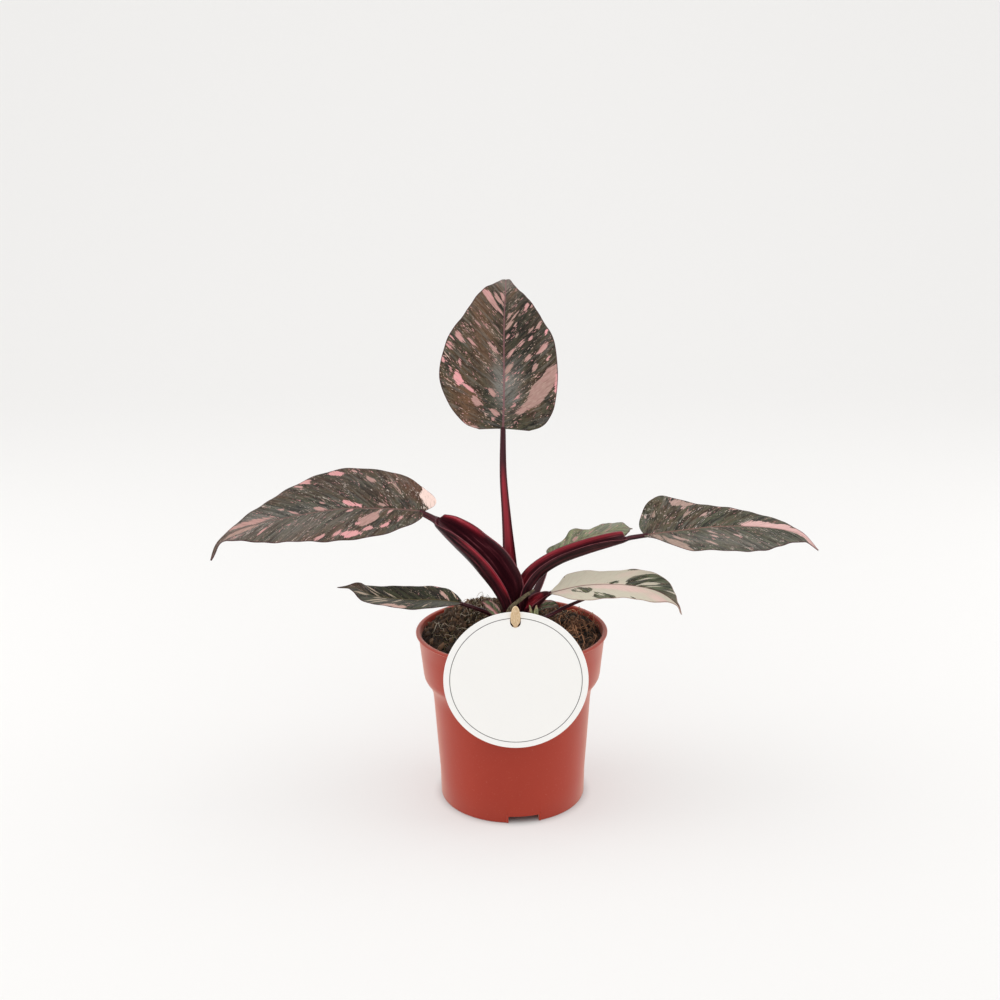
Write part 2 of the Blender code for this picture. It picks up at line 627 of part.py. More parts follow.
def make_soil(finish):
    wall = [(r - GAP, z) for r, z in reversed(pot_inside()) if z < SOIL_EDGE_HEIGHT - 2]
    wall[0] = (wall[0][0], POT_FLOOR + GAP)
    edge = smooth_value([z for r, z in wall] + [108], [r for r, z in wall] + [56.8], SOIL_EDGE_HEIGHT)
    top = [(edge * k / SOIL_RINGS, SOIL_EDGE_HEIGHT) for k in range(SOIL_RINGS, -1, -1)]
    profile = [(0, POT_FLOOR + GAP)] + wall + top
    soil = turned("soil", profile, SOIL_SIDES)
    for vertex in soil.data.vertices:
        x, y, z = vertex.co / MM
        if abs(z - SOIL_EDGE_HEIGHT) < 0.01:
            vertex.co.z = soil_height(x, y) * MM
    cutters = channel_blocks("channel_room", POT_WALL + GAP, True)
    cutters.append(rod("stem_hole", STEM_PATH[0], STEM_HOLE_RADIUS, STEM_PATH[0][2] - 1, ABOVE_SOIL, 20))
    cutters.append(stick("stick_hole", GAP))
    for name, leaf in SMALL_LEAVES.items():
        foot = leaf["stalk"][0]
        cutters.append(rod(name + "_hole", foot, LEAF_HOLE_RADIUS, foot[2] - 0.5, ABOVE_SOIL, 8))
    for name, path in (("shoot_hole", SHOOT_PATH), ("sheath_hole", SHEATH["path"])):
        cutters.append(rod(name, path[0], SHOOT_HOLE_RADIUS, path[0][2] - 0.5, ABOVE_SOIL, 10))
    combine(soil, cutters, "DIFFERENCE")
    tidy(soil, finish, 70)
    return soil


def rounded_outline(width, height, radii, corner_steps):
    """A rectangle with round corners above and below, about its own middle."""
    points = []
    for sx, sy, start in ((1, 1, 0), (-1, 1, 90), (-1, -1, 180), (1, -1, 270)):
        radius = radii[0] if sy > 0 else radii[1]
        for k in range(corner_steps + 1):
            a = math.radians(start + 90 * k / corner_steps)
            points.append((sx * (width / 2 - radius) + radius * math.cos(a),
                           sy * (height / 2 - radius) + radius * math.sin(a)))
    return points


def plate(name, outline, place, finish=None):
    """A plate of an outline: place gives each point of its two faces."""
    count = len(outline)
    points = [place(x, y, side) for side in (-1, 1) for x, y in outline]
    faces = [tuple(reversed(range(count))), tuple(range(count, 2 * count))]
    for k in range(count):
        n = (k + 1) % count
        faces.append((k, n, n + count, k + count))
    made = solid(name, points, faces, finish)
    fix_direction(made)
    return made


def stick(name, grow=0.0, finish=None):
    """The flat wooden stick with its broad head, leaning forward through the card's slot."""
    lean = math.radians(STICK_LEAN)
    along = Vector((0, -math.sin(lean), math.cos(lean)))
    front = Vector((0, -math.cos(lean), -math.sin(lean)))
    half = STICK_THICKNESS / 2 + grow
    edge = [(wide + grow, STICK_ABOVE_SLOT - down) for down, wide in STICK_HALF_WIDTHS]
    edge[0] = (edge[0][0], edge[0][1] + grow)
    edge[-1] = (edge[-1][0], edge[-1][1] - grow)

    def place(x, y, side):
        return Vector(SLOT_CENTRE) + Vector((x, 0, 0)) + along * y + front * half * side

    return plate(name, [(-x, y) for x, y in edge] + edge[::-1], place, finish)


def make_card(finish):
    turns = [math.tau * k / CARD_SIDES for k in range(CARD_SIDES)]
    outline = [(CARD_RADIUS * math.cos(turn), CARD_RADIUS * math.sin(turn)) for turn in turns]
    centre, slot = Vector(CARD_CENTRE), Vector(SLOT_CENTRE)
    card = plate("label_card", outline,
                 lambda x, y, side: centre + Vector((x, CARD_THICKNESS / 2 * side, y)))
    cutter = plate("slot", rounded_outline(*SLOT_SIZE, SLOT_CORNERS, 4),
                   lambda x, y, side: slot + Vector((x, 3 * side, y)))
    combine(card, [cutter], "DIFFERENCE")
    tidy(card, finish, 30)
    return card


def make_stems(finish):
    """The stem with every stalk that clasps it, grown as one piece, cut clear of the blades."""
    stems = tube("stem_and_stalks", STEM_PATH, STEM_RADII, 14)
    combine(stems, [stalk("stalk_" + name, leaf) for name, leaf in STALKS.items()], "UNION")
    grown = [blade("room_" + name, leaf, None, GAP) for name, leaf in BLADES.items()]
    combine(stems, grown, "DIFFERENCE")
    keep_largest(stems)
    tidy(stems, finish, 50)
    return stems


def make_small_leaf(name, leaf, finish):
    made = blade(name, leaf)
    foot = leaf["stalk"]
    combine(made, [tube(name + "_stalk", foot, (SMALL_STALK_RADIUS,) * len(foot), 8)], "UNION")
    tidy(made, finish, 60)
    return made


def build():
    clear_scene()
    make_pot(material("pot_plastic", (0.42, 0.075, 0.045), 0.42))
    make_soil(material("peat", (0.045, 0.03, 0.02), 0.95))
    make_stems(material("dark_red_stalk", (0.09, 0.012, 0.018), 0.3))
    green = material("dark_green_and_pink_leaf", (0.06, 0.07, 0.04), 0.35)
    for name, leaf in BLADES.items():
        blade(name, leaf, green)
    for name, leaf in SMALL_LEAVES.items():
        make_small_leaf(name, leaf, green)
    tube("young_shoot", SHOOT_PATH, SHOOT_RADII, 8, material("yellow_green_shoot", (0.36, 0.33, 0.12), 0.5))
    dry = stalk("dry_sheath", SHEATH)
    tidy(dry, material("dry_sheath", (0.2, 0.14, 0.07), 0.8), 50)
    make_card(material("white_card", (0.85, 0.85, 0.83), 0.6))
    wood = material("pale_wood", (0.75, 0.58, 0.38), 0.7)
    shade(stick("label_stick", 0.0, wood), 35)


build()
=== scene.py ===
# A pink princess philodendron in its nursery pot, photographed on a plain pale sweep.
# Lengths are in millimetres unless a line says otherwise, and MM turns them into metres.

import math
import random

import bmesh
import bpy
import numpy as np
from mathutils import Matrix, Vector, noise


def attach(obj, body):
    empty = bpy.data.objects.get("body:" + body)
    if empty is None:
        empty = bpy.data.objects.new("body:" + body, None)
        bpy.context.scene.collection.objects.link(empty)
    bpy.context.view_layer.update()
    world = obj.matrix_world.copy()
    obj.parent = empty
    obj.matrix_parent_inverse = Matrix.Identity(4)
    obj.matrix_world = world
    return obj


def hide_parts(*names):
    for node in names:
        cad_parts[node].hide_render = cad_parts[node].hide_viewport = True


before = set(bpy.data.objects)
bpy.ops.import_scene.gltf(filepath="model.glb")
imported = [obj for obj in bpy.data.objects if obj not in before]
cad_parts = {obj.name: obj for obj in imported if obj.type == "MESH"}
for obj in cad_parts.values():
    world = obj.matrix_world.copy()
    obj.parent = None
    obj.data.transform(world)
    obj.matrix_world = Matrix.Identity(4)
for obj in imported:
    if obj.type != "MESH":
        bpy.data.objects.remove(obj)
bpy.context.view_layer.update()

# Camera: it stands about seventy centimetres in front of the plant, a little above its leaves,
# and looks down on the pot at fourteen degrees. The picture's colours are shown as they are.
MM = 0.001
CAMERA_PLACE = (-6.54, -712.0, 370.5)
CAMERA_TILT = 13.997
CAMERA_ROLL = -0.513
LENS = 43.2
SENSOR = 36.0

camera = bpy.data.objects.new("camera", bpy.data.cameras.new("camera"))
bpy.context.scene.collection.objects.link(camera)
camera.data.lens = LENS
camera.data.sensor_width = SENSOR
camera.data.clip_start = 0.01
place = Matrix.Translation(Vector(CAMERA_PLACE) * MM)
look = Matrix.Rotation(math.radians(90 - CAMERA_TILT), 4, "X")
roll = Matrix.Rotation(math.radians(CAMERA_ROLL), 4, "Z")
camera.matrix_world = place @ look @ roll
bpy.context.scene.camera = camera
bpy.context.scene.view_settings.view_transform = "Standard"

# Studio: one pale sheet that lies flat under the pot and curves up behind it, with soft boxes
# above, at the left and at the right, and even white light from all round. The sheet glows a
# little, but not under the pot. Places and sizes here are in metres.
SWEEP_WIDTH = 9.0
SWEEP_FRONT = -4.5
SWEEP_BACK = 1.6
SWEEP_RADIUS = 1.2
SWEEP_TOP = 4.0
SWEEP_STEPS = 16
SWEEP_COLOUR = (0.52, 0.515, 0.51, 1)
SWEEP_GLOW = 0.365
GLOW_NONE_WITHIN = 0.040
GLOW_FULL_BEYOND = 0.052
WORLD_LIGHT = 0.96
SOFT_WHITE = (1, 0.995, 0.985, 1)
SOFT_BOXES = (
    ("top_box", (-0.3, -0.1, 1.6), (0, 0, 0.15), 1.6, 2.5),
    ("left_box", (-1.3, 0.0, 0.6), (0, 0, 0.12), 0.9, 4.5),
    ("right_box", (1.3, 0.1, 0.6), (0, 0, 0.12), 0.9, 4.5),
)


def new_object(name, data):
    made = bpy.data.objects.new(name, data)
    bpy.context.scene.collection.objects.link(made)
    return made


def new_material(name):
    """A node material, with its node tree and its main shader."""
    made = bpy.data.materials.new(name)
    made.use_nodes = True
    tree = made.node_tree
    return made, tree, tree.nodes["Principled BSDF"]


def fill(tree, made, values):
    """Fills a node's inputs, each with a value or with another node's output."""
    for key, value in values.items():
        if isinstance(value, bpy.types.NodeSocket):
            tree.links.new(value, made.inputs[key])
        else:
            made.inputs[key].default_value = value


def node(tree, kind, values=None, **settings):
    """A shader node with its settings and its inputs."""
    made = tree.nodes.new("ShaderNode" + kind)
    for key, value in settings.items():
        setattr(made, key, value)
    fill(tree, made, values or {})
    return made


def fade(tree, value, low, high, start=0.0, end=1.0):
    """A smooth step of a value from one level to another."""
    made = node(tree, "MapRange", {"Value": value, "From Min": low, "From Max": high,
                                   "To Min": start, "To Max": end}, interpolation_type="SMOOTHSTEP")
    return made.outputs["Result"]


def sweep_mesh():
    """The flat sheet, its quarter-round bend and its upright back."""
    profile = [(SWEEP_FRONT, 0.0)]
    for step in range(SWEEP_STEPS + 1):
        turn = math.radians(90 * step / SWEEP_STEPS)
        profile.append((SWEEP_BACK + SWEEP_RADIUS * math.sin(turn), SWEEP_RADIUS * (1 - math.cos(turn))))
    profile.append((SWEEP_BACK + SWEEP_RADIUS, SWEEP_TOP))
    points = [(x, y, z) for y, z in profile for x in (-SWEEP_WIDTH / 2, SWEEP_WIDTH / 2)]
    faces = [(2 * k, 2 * k + 1, 2 * k + 3, 2 * k + 2) for k in range(len(profile) - 1)]
    mesh = bpy.data.meshes.new("sweep")
    mesh.from_pydata(points, [], faces)
    mesh.shade_smooth()
    return mesh


def sweep_paper():
    made, tree, shader = new_material("sweep_paper")
    here = node(tree, "TexCoord").outputs["Object"]
    far = node(tree, "VectorMath", {0: here}, operation="LENGTH").outputs["Value"]
    glow = fade(tree, far, GLOW_NONE_WITHIN, GLOW_FULL_BEYOND, 0, SWEEP_GLOW)
    fill(tree, shader, {"Base Color": SWEEP_COLOUR, "Roughness": 0.8, "Specular IOR Level": 0.1,
                        "Emission Color": SOFT_WHITE, "Emission Strength": glow})
    return made


sweep = new_object("sweep", sweep_mesh())
sweep.data.materials.append(sweep_paper())

for name, spot, target, size, power in SOFT_BOXES:
    lamp = new_object(name, bpy.data.lights.new(name, "AREA"))
    lamp.data.shape = "SQUARE"
    lamp.data.size = size
    lamp.data.energy = power
    lamp.location = spot
    lamp.rotation_euler = (Vector(target) - Vector(spot)).to_track_quat("-Z", "Y").to_euler()

world = bpy.data.worlds.new("studio")
world.use_nodes = True
all_round = world.node_tree.nodes["Background"]
fill(world.node_tree, all_round, {"Color": SOFT_WHITE, "Strength": WORLD_LIGHT})
bpy.context.scene.world = world

# Pot: a thin injection-moulded nursery pot of satin terracotta plastic, with a wide tapered
# collar, a rolled lip and three drain channels with holes in its foot.
POT_SIDES = 180
POT_WALL = 1.2
POT_FLOOR = 1.5
POT_OUTSIDE = (
    (44.6, 0), (45.6, 0.3), (46.0, 1.3), (46.4, 18), (48.0, 41), (49.6, 66), (50.2, 71), (51.5, 74.4),
    (52.8, 76.8), (54.2, 78.7), (55.2, 80.6), (55.7, 83), (56.4, 90), (57.3, 98), (58.3, 107.6),
    (58.7, 108.3), (59.5, 108.4), (59.95, 108.8), (60.0, 109.4), (59.7, 109.9), (59.1, 110.0),
)
POT_LIP_INSIDE = ((58.0, 110.0), (57.4, 109.7), (57.15, 108.9))
CHANNEL_WIDTH = 19.0
CHANNEL_HEIGHT = 4.5
CHANNEL_START = 15.0
CHANNEL_END = 45.2
CHANNEL_TURNS = (-82.0, 38.0, 158.0)
DRAIN_RADIUS = 4.0
DRAIN_DISTANCE = 31.0
DRAIN_OFFSETS = (0, 60)
DRAIN_SIDES = 32
POT_DARK = (154, 48, 31)
POT_LIGHT = (168, 56, 37)
POT_SPECK = (214, 130, 112)
POT_SHEEN = (1.0, 0.66, 0.54, 1)


def solid(name, points, faces):
    """A mesh object from points in millimetres, with its faces turned outwards."""
    mesh = bpy.data.meshes.new(name)
    mesh.from_pydata((np.asarray(points, float) * MM).tolist(), [], faces)
    shape = bmesh.new()
    shape.from_mesh(mesh)
    bmesh.ops.recalc_face_normals(shape, faces=shape.faces)
    if shape.calc_volume(signed=True) < 0:
        bmesh.ops.reverse_faces(shape, faces=shape.faces)
    shape.to_mesh(mesh)
    shape.free()
    return new_object(name, mesh)


def turned(name, profile, sides):
    """A solid of revolution whose profile starts and ends on the axis."""
    points, rings, faces = [], [], []
    for radius, height in profile:
        if radius == 0:
            rings.append([len(points)] * sides)
            points.append((0, 0, height))
            continue
        rings.append([len(points) + k for k in range(sides)])
        turns = [math.tau * (k + 0.5) / sides for k in range(sides)]
        points += [(radius * math.cos(turn), radius * math.sin(turn), height) for turn in turns]
    for low, high in zip(rings, rings[1:]):
        for k in range(sides):
            n = (k + 1) % sides
            corners = [low[k], low[n], high[n], high[k]]
            faces.append(tuple(c for i, c in enumerate(corners) if c != corners[i - 1]))
    return solid(name, points, faces)


def box(name, low, high, turn):
    c, s = math.cos(math.radians(turn)), math.sin(math.radians(turn))
    corners = ((low[0], low[1]), (high[0], low[1]), (high[0], high[1]), (low[0], high[1]))
    points = [(x * c - y * s, x * s + y * c, z) for z in (low[2], high[2]) for x, y in corners]
    faces = [(3, 2, 1, 0), (4, 5, 6, 7), (0, 1, 5, 4), (1, 2, 6, 5), (2, 3, 7, 6), (3, 0, 4, 7)]
    return solid(name, points, faces)


def combine(thing, others, operation):
    """Joins the others to a thing, or cuts them out of it, and removes them."""
    for other in others:
        modifier = thing.modifiers.new(operation, "BOOLEAN")
        modifier.operation = operation
        modifier.object = other
        modifier.solver = "EXACT"
    result = bpy.data.meshes.new_from_object(thing.evaluated_get(bpy.context.evaluated_depsgraph_get()))
    thing.modifiers.clear()
    thing.data = result
    for other in others:
        bpy.data.objects.remove(other)


def smooth(thing, angle):
    thing.data.shade_smooth()
    thing.data.set_sharp_from_angle(angle=math.radians(angle))


def number(tree, operation, a, b=0.0, clamp=False):
    return node(tree, "Math", {0: a, 1: b}, operation=operation, use_clamp=clamp).outputs[0]


def cloud(tree, place, scale, detail=3.0, roughness=0.5):
    """Noise at a place given in metres, with so many features in each metre."""
    return node(tree, "TexNoise", {"Vector": place, "Scale": scale, "Detail": detail,
                                   "Roughness": roughness}).outputs[0]


def rgb(red, green, blue):
    """A colour as the eye reads it, from 0 to 255, as the shader needs it."""
    def line(part):
        part /= 255
        return part / 12.92 if part <= 0.04045 else ((part + 0.055) / 1.055) ** 2.4
    return (line(red), line(green), line(blue), 1.0)


def blend(tree, share, first, second):
    """The first colour turning into the second, each a node's output or red, green and blue."""
    first, second = (rgb(*part) if isinstance(part, tuple) else part for part in (first, second))
    return node(tree, "Mix", {0: share, 6: first, 7: second}, data_type="RGBA").outputs[2]


def relief(tree, height, strength, depth):
    """Fine relief that follows a height, with its depth in millimetres."""
    values = {"Strength": strength, "Distance": depth * MM, "Height": height}
    return node(tree, "Bump", values).outputs[0]


def pot_plastic():
    made, tree, shader = new_material("satin_terracotta_plastic")
    here = node(tree, "TexCoord").outputs["Object"]
    cloudy = cloud(tree, here, 22, 3)
    grain = cloud(tree, here, 900, 2)
    colour = blend(tree, cloudy, POT_DARK, POT_LIGHT)
    speck = fade(tree, grain, 0.62, 0.74)
    colour = blend(tree, number(tree, "MULTIPLY", speck, 0.10), colour, POT_SPECK)
    rough = number(tree, "ADD", number(tree, "MULTIPLY", cloudy, 0.12), 0.34)
    fill(tree, shader, {"Base Color": colour, "Roughness": rough, "Specular IOR Level": 0.25,
                        "Sheen Weight": 0.75, "Sheen Roughness": 0.35, "Sheen Tint": POT_SHEEN,
                        "Normal": relief(tree, grain, 0.06, 0.2)})
    return made


def make_pot():
    """The moulded cup, with a roof over each drain channel, then the channels and drain holes."""
    inside = [(r - POT_WALL, z) for r, z in POT_OUTSIDE if POT_FLOOR + 1 < z < 107]
    foot = (POT_OUTSIDE[2][0] - POT_WALL, POT_FLOOR)
    profile = [(0, 0), *POT_OUTSIDE, *POT_LIP_INSIDE, *inside[::-1], foot, (0, POT_FLOOR)]
    pot = turned("pot_shell", profile, POT_SIDES)
    half = CHANNEL_WIDTH / 2
    roofs, cutters = [], []
    for k, turn in enumerate(CHANNEL_TURNS):
        low = (CHANNEL_START - POT_WALL, -half - POT_WALL, 0.5)
        high = (CHANNEL_END, half + POT_WALL, CHANNEL_HEIGHT + POT_WALL)
        roofs.append(box(f"roof_{k}", low, high, turn))
        low, high = (CHANNEL_START, -half, -1), (60, half, CHANNEL_HEIGHT)
        cutters.append(box(f"channel_{k}", low, high, turn))
        for offset in DRAIN_OFFSETS:
            a = math.radians(turn + offset)
            drill = [(0, -1), (DRAIN_RADIUS, -1), (DRAIN_RADIUS, 8), (0, 8)]
            hole = turned(f"drain_{k}_{offset}", drill, DRAIN_SIDES)
            way = Vector((math.cos(a), math.sin(a), 0))
            hole.data.transform(Matrix.Translation(way * DRAIN_DISTANCE * MM))
            cutters.append(hole)
    combine(pot, roofs, "UNION")
    combine(pot, cutters, "DIFFERENCE")
    pot.data.materials.clear()
    pot.data.materials.append(pot_plastic())
    smooth(pot, 35)
    return pot


pot = make_pot()
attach(pot, "root")
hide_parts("pot")

# Soil: dark peat with coir, pressed in by hand up to just under the lip and heaped behind the
# stem. It is one crumbly body; loose crumbs, coir strands, moss and fine roots lie on it.
SOIL_EDGE_HEIGHT = 103.5
SOIL_REACH = 57
SOIL_DOME = 3.5
SOIL_HEAPS = (
    (-15.0, 21.0, 12.5, 13.0), (0.5, 0.5, 1.0, 13.0), (-40, 26, 4.2, 12), (-20, 46, 4.8, 12),
    (-50, -2, 3.2, 11), (24, 44, 4.2, 12), (44, 22, 3.8, 12), (46, -14, 2.6, 11),
)
SOIL_FLOOR = 1.8
SOIL_RINGS = 120
SOIL_SIDES = 320
SOIL_GAP = 0.3
PEAT_DARK = (28, 21, 17)
PEAT_LIGHT = (62, 46, 34)
PEAT_GRIT = (96, 72, 50)
LUMP_DARK = (20, 15, 12)
LUMP_LIGHT = (118, 88, 62)
CRUMBS = 2600
CRUMB_SEED = 11
CRUMB_SPOTS = ((0, 0, 34, 1.0), (-15, 20, 14, 0.4), (-26, 38, 10, 0.35), (-42, 14, 9, 0.25))
LOOSE_REACH = 54.5
STEM_FOOT = (0.5, 0.5)
STEM_CLEAR = 7.2
STRANDS = {
    "dark_coir": dict(
        seed=5, count=420, spots=((0, 0, 32, 1.0),), length=(8, 22), rise=(0.3, 2.6), curl=2.5,
        radius=0.19, steps=9, finish="dark_coir_fibre", dark=(40, 28, 21), light=(104, 74, 50),
    ),
    "red_coir": dict(
        seed=7, count=130, spots=((33, -6, 11, 1.0), (22, 22, 11, 0.5), (44, 8, 6, 0.3)),
        length=(10, 30), rise=(1.2, 6.5), curl=3.0, radius=0.27, steps=13,
        finish="red_coir_fibre", dark=(70, 38, 26), light=(214, 158, 118),
    ),
    "moss": dict(
        seed=9, count=300, spots=((-34, -8, 12, 1.0), (-8, -14, 6, 0.6), (-22, 14, 11, 0.8)),
        length=(3, 8), rise=(0.5, 2.4), curl=5.0, radius=0.2, steps=6,
        finish="olive_moss", dark=(46, 42, 24), light=(140, 128, 80),
    ),
    "fine_roots": dict(
        seed=3, count=70, spots=((-24, 20, 6, 1.0), (-34, 0, 8, 0.5), (26, 24, 8, 0.6)),
        length=(8, 18), rise=(2.0, 4.5), curl=4.0, radius=0.15, steps=10,
        finish="pale_root", dark=(150, 132, 108), light=(222, 210, 190),
    ),
}


def soil_height(x, y):
    """The height of the pressed surface: a low dome with heaps and soft ripples."""
    far = np.hypot(x, y)
    height = SOIL_EDGE_HEIGHT + SOIL_DOME * (1 - (far / SOIL_REACH) ** 2)
    for cx, cy, rise, spread in SOIL_HEAPS:
        height = height + rise * np.exp(-((x - cx) ** 2 + (y - cy) ** 2) / (2 * spread**2))
    ripple = np.sin(0.61 * x + 1.3) * np.sin(0.57 * y + 0.4) + 0.7 * np.sin(0.93 * x - 0.71 * y)
    ripple = ripple + 0.6 * np.sin(1.37 * y + 0.55 * x + 2.0)
    return height + 1.1 * ripple * np.minimum(1, (SOIL_REACH - far) / 5)


def clods(x, y):
    """The small lumps and hollows of the surface, a millimetre or two high."""
    here = Vector((x, y, 0.0))
    lumps = 1.0 - abs(noise.noise(here * 0.21)) * 2
    fine = noise.noise(here * 0.55 + Vector((9, 4, 2)))
    grit = noise.noise(here * 1.3 + Vector((3, 7, 5)))
    return 1.1 * lumps + 0.9 * fine + 0.4 * grit - 0.9


def ground_height(x, y):
    return float(soil_height(x, y)) + clods(x, y)


def pot_inner_radius(height):
    walls = POT_OUTSIDE[2:15]
    return float(np.interp(height, [z for r, z in walls], [r - POT_WALL for r, z in walls]))


def attribute(thing, name, kind, values):
    """Stores a value for each point of a mesh, for its material to read."""
    field = "vector" if kind == "FLOAT_VECTOR" else "value"
    made = thing.data.attributes.new(name, kind, "POINT")
    made.data.foreach_set(field, np.asarray(values, np.float32).ravel())


def make_soil_bed():
    """One body: fine rings for its crumbly top, then a ring at each bend of the pot's wall."""
    edge = pot_inner_radius(SOIL_EDGE_HEIGHT) - SOIL_GAP
    turns = [math.tau * k / SOIL_SIDES for k in range(SOIL_SIDES)]
    points, faces = [(0, 0, float(soil_height(0, 0)))], []
    for ring in range(1, SOIL_RINGS + 1):
        radius = edge * (ring / SOIL_RINGS) ** 0.8
        calm = min(1, (edge - radius) / 2)
        for turn in turns:
            x, y = radius * math.cos(turn), radius * math.sin(turn)
            points.append((x, y, float(soil_height(x, y)) + calm * clods(x, y)))
    lowest = SOIL_FLOOR + 4
    bends = [bend[1] for bend in reversed(POT_OUTSIDE)]
    depths = [height for height in bends if lowest < height < SOIL_EDGE_HEIGHT - 2] + [lowest]
    for height in depths:
        radius = pot_inner_radius(height) - SOIL_GAP
        points += [(radius * math.cos(turn), radius * math.sin(turn), height) for turn in turns]
    rings = SOIL_RINGS + len(depths)
    for k in range(SOIL_SIDES):
        faces.append((0, 1 + k, 1 + (k + 1) % SOIL_SIDES))
    for ring in range(rings - 1):
        a, b = 1 + ring * SOIL_SIDES, 1 + (ring + 1) * SOIL_SIDES
        for k in range(SOIL_SIDES):
            n = (k + 1) % SOIL_SIDES
            faces.append((a + k, b + k, b + n, a + n))
    last = 1 + (rings - 1) * SOIL_SIDES
    faces.append(tuple(last + k for k in range(SOIL_SIDES)))
    return solid("soil_bed", points, faces)


def scatter(draw, spots):
    """A place on the soil, drawn round one of the spots (x, y, spread, weight)."""
    while True:
        x0, y0, spread, _ = draw.choices(spots, [spot[3] for spot in spots])[0]
        x, y = draw.gauss(x0, spread), draw.gauss(y0, spread)
        if math.hypot(x, y) < LOOSE_REACH and math.dist((x, y), STEM_FOOT) > STEM_CLEAR:
            return x, y


def loose_pieces(name, points, faces, tones):
    """One mesh of many loose pieces, each with its own tone."""
    mesh = bpy.data.meshes.new(name)
    mesh.from_pydata([point * MM for point in points], [], faces)
    made = new_object(name, mesh)
    attribute(made, "tone", "FLOAT", tones)
    return made


def make_crumbs():
    """Small broken lumps of peat: a rough twenty-sided stone each, pressed into the surface."""
    draw = random.Random(CRUMB_SEED)
    ball = bmesh.new()
    bmesh.ops.create_icosphere(ball, subdivisions=1, radius=1)
    shape = [Vector(v.co) for v in ball.verts]
    sides = [[v.index for v in face.verts] for face in ball.faces]
    ball.free()
    points, faces, tones = [], [], []
    for _ in range(CRUMBS):
        x, y = scatter(draw, CRUMB_SPOTS)
        size = 0.5 + 2.0 * draw.random() ** 3
        turn = Matrix.Rotation(draw.uniform(0, math.tau), 3, draw.choice("XYZ"))
        turn = turn @ Matrix.Rotation(draw.uniform(0, math.tau), 3, "Y")
        stretch = Vector((draw.uniform(0.8, 1.7), draw.uniform(0.6, 1.1), draw.uniform(0.5, 0.9)))
        centre = Vector((x, y, ground_height(x, y) + 0.1 * size))
        start = len(points)
        for corner in shape:
            rough = 1 + draw.uniform(-0.25, 0.25)
            points.append(centre + turn @ (corner * stretch * size * rough))
        faces += [tuple(start + k for k in side) for side in sides]
        tones += [draw.random()] * len(shape)
    return loose_pieces("peat_crumbs", points, faces, tones)


def strand(points, faces, path, radius):
    """Adds a three-sided strand along a path, thin at both ends, and gives its count of points."""
    start = len(points)
    last = len(path) - 1
    for k, middle in enumerate(path):
        forward = (path[min(k + 1, last)] - path[max(k - 1, 0)]).normalized()
        side = forward.orthogonal().normalized()
        other = forward.cross(side)
        wide = radius * (0.35 + 0.65 * math.sin(math.pi * (0.08 + 0.84 * k / last)))
        for corner in range(3):
            turn = math.tau * corner / 3
            points.append(middle + side * wide * math.cos(turn) + other * wide * math.sin(turn))
    for k in range(last):
        for corner in range(3):
            a, b = start + 3 * k + corner, start + 3 * k + (corner + 1) % 3
            faces.append((a, b, b + 3, a + 3))
    faces.append((start + 2, start + 1, start))
    faces.append((start + 3 * last, start + 3 * last + 1, start + 3 * last + 2))
    return 3 * (last + 1)


def make_strands(name, kind):
    """Strands that lie over the soil in low arcs, each with its own tone."""
    noise.seed_set(kind["seed"])
    draw = random.Random(kind["seed"])
    points, faces, tones = [], [], []
    steps = kind["steps"]
    for _ in range(kind["count"]):
        x, y = scatter(draw, kind["spots"])
        heading = draw.uniform(0, math.tau)
        bend = draw.uniform(-kind["curl"], kind["curl"])
        reach = draw.uniform(*kind["length"])
        lift = draw.uniform(*kind["rise"])
        tilt = draw.uniform(-0.3, 0.9)
        wobble = draw.uniform(0, 99)
        path = []
        for k in range(steps):
            share = k / (steps - 1)
            ground = max(ground_height(x, y), SOIL_EDGE_HEIGHT - 2)
            arc = math.sin(math.pi * share) + tilt * share
            jitter = noise.noise_vector(Vector((wobble, 3 * share, 0))) * 0.12 * reach
            path.append(Vector((x, y, ground - 0.3 + lift * arc)) + jitter)
            heading += bend / steps
            x += reach / steps * math.cos(heading)
            y += reach / steps * math.sin(heading)
            far = math.hypot(x, y)
            if far > LOOSE_REACH:
                x, y = x * LOOSE_REACH / far, y * LOOSE_REACH / far
        added = strand(points, faces, path, kind["radius"] * draw.uniform(0.6, 1.3))
        tones += [draw.random()] * added
    return loose_pieces(name, points, faces, tones)


def bare_fibre(name, dark, light):
    """Bare organic matter, from its dark pieces to its light ones."""
    made, tree, shader = new_material(name)
    tone = node(tree, "Attribute", attribute_name="tone").outputs["Fac"]
    here = node(tree, "TexCoord").outputs["Object"]
    mottle = cloud(tree, here, 600, 3)
    share = number(tree, "MULTIPLY", tone, 0.75)
    share = number(tree, "ADD", share, number(tree, "MULTIPLY", mottle, 0.3))
    fill(tree, shader, {"Base Color": blend(tree, share, dark, light), "Roughness": 0.85,
                        "Normal": relief(tree, mottle, 0.3, 0.3)})
    return made


def peat():
    made, tree, shader = new_material("dark_peat")
    here = node(tree, "TexCoord").outputs["Object"]
    large = cloud(tree, here, 160, 4)
    fine = cloud(tree, here, 900, 4, 0.7)
    colour = blend(tree, fade(tree, large, 0.35, 0.7), PEAT_DARK, PEAT_LIGHT)
    colour = blend(tree, fade(tree, fine, 0.55, 0.75), colour, PEAT_GRIT)
    fill(tree, shader, {"Base Color": colour, "Roughness": 0.9,
                        "Normal": relief(tree, fine, 0.8, 0.6)})
    return made


soil_bed = make_soil_bed()
soil_top = [(soil_bed, peat()), (make_crumbs(), bare_fibre("peat_lumps", LUMP_DARK, LUMP_LIGHT))]
for name, kind in STRANDS.items():
    finish = bare_fibre(kind["finish"], kind["dark"], kind["light"])
    soil_top.append((make_strands(name, kind), finish))
for piece, finish in soil_top:
    piece.data.shade_smooth()
    piece.data.materials.append(finish)
    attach(piece, "root")
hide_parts("soil")

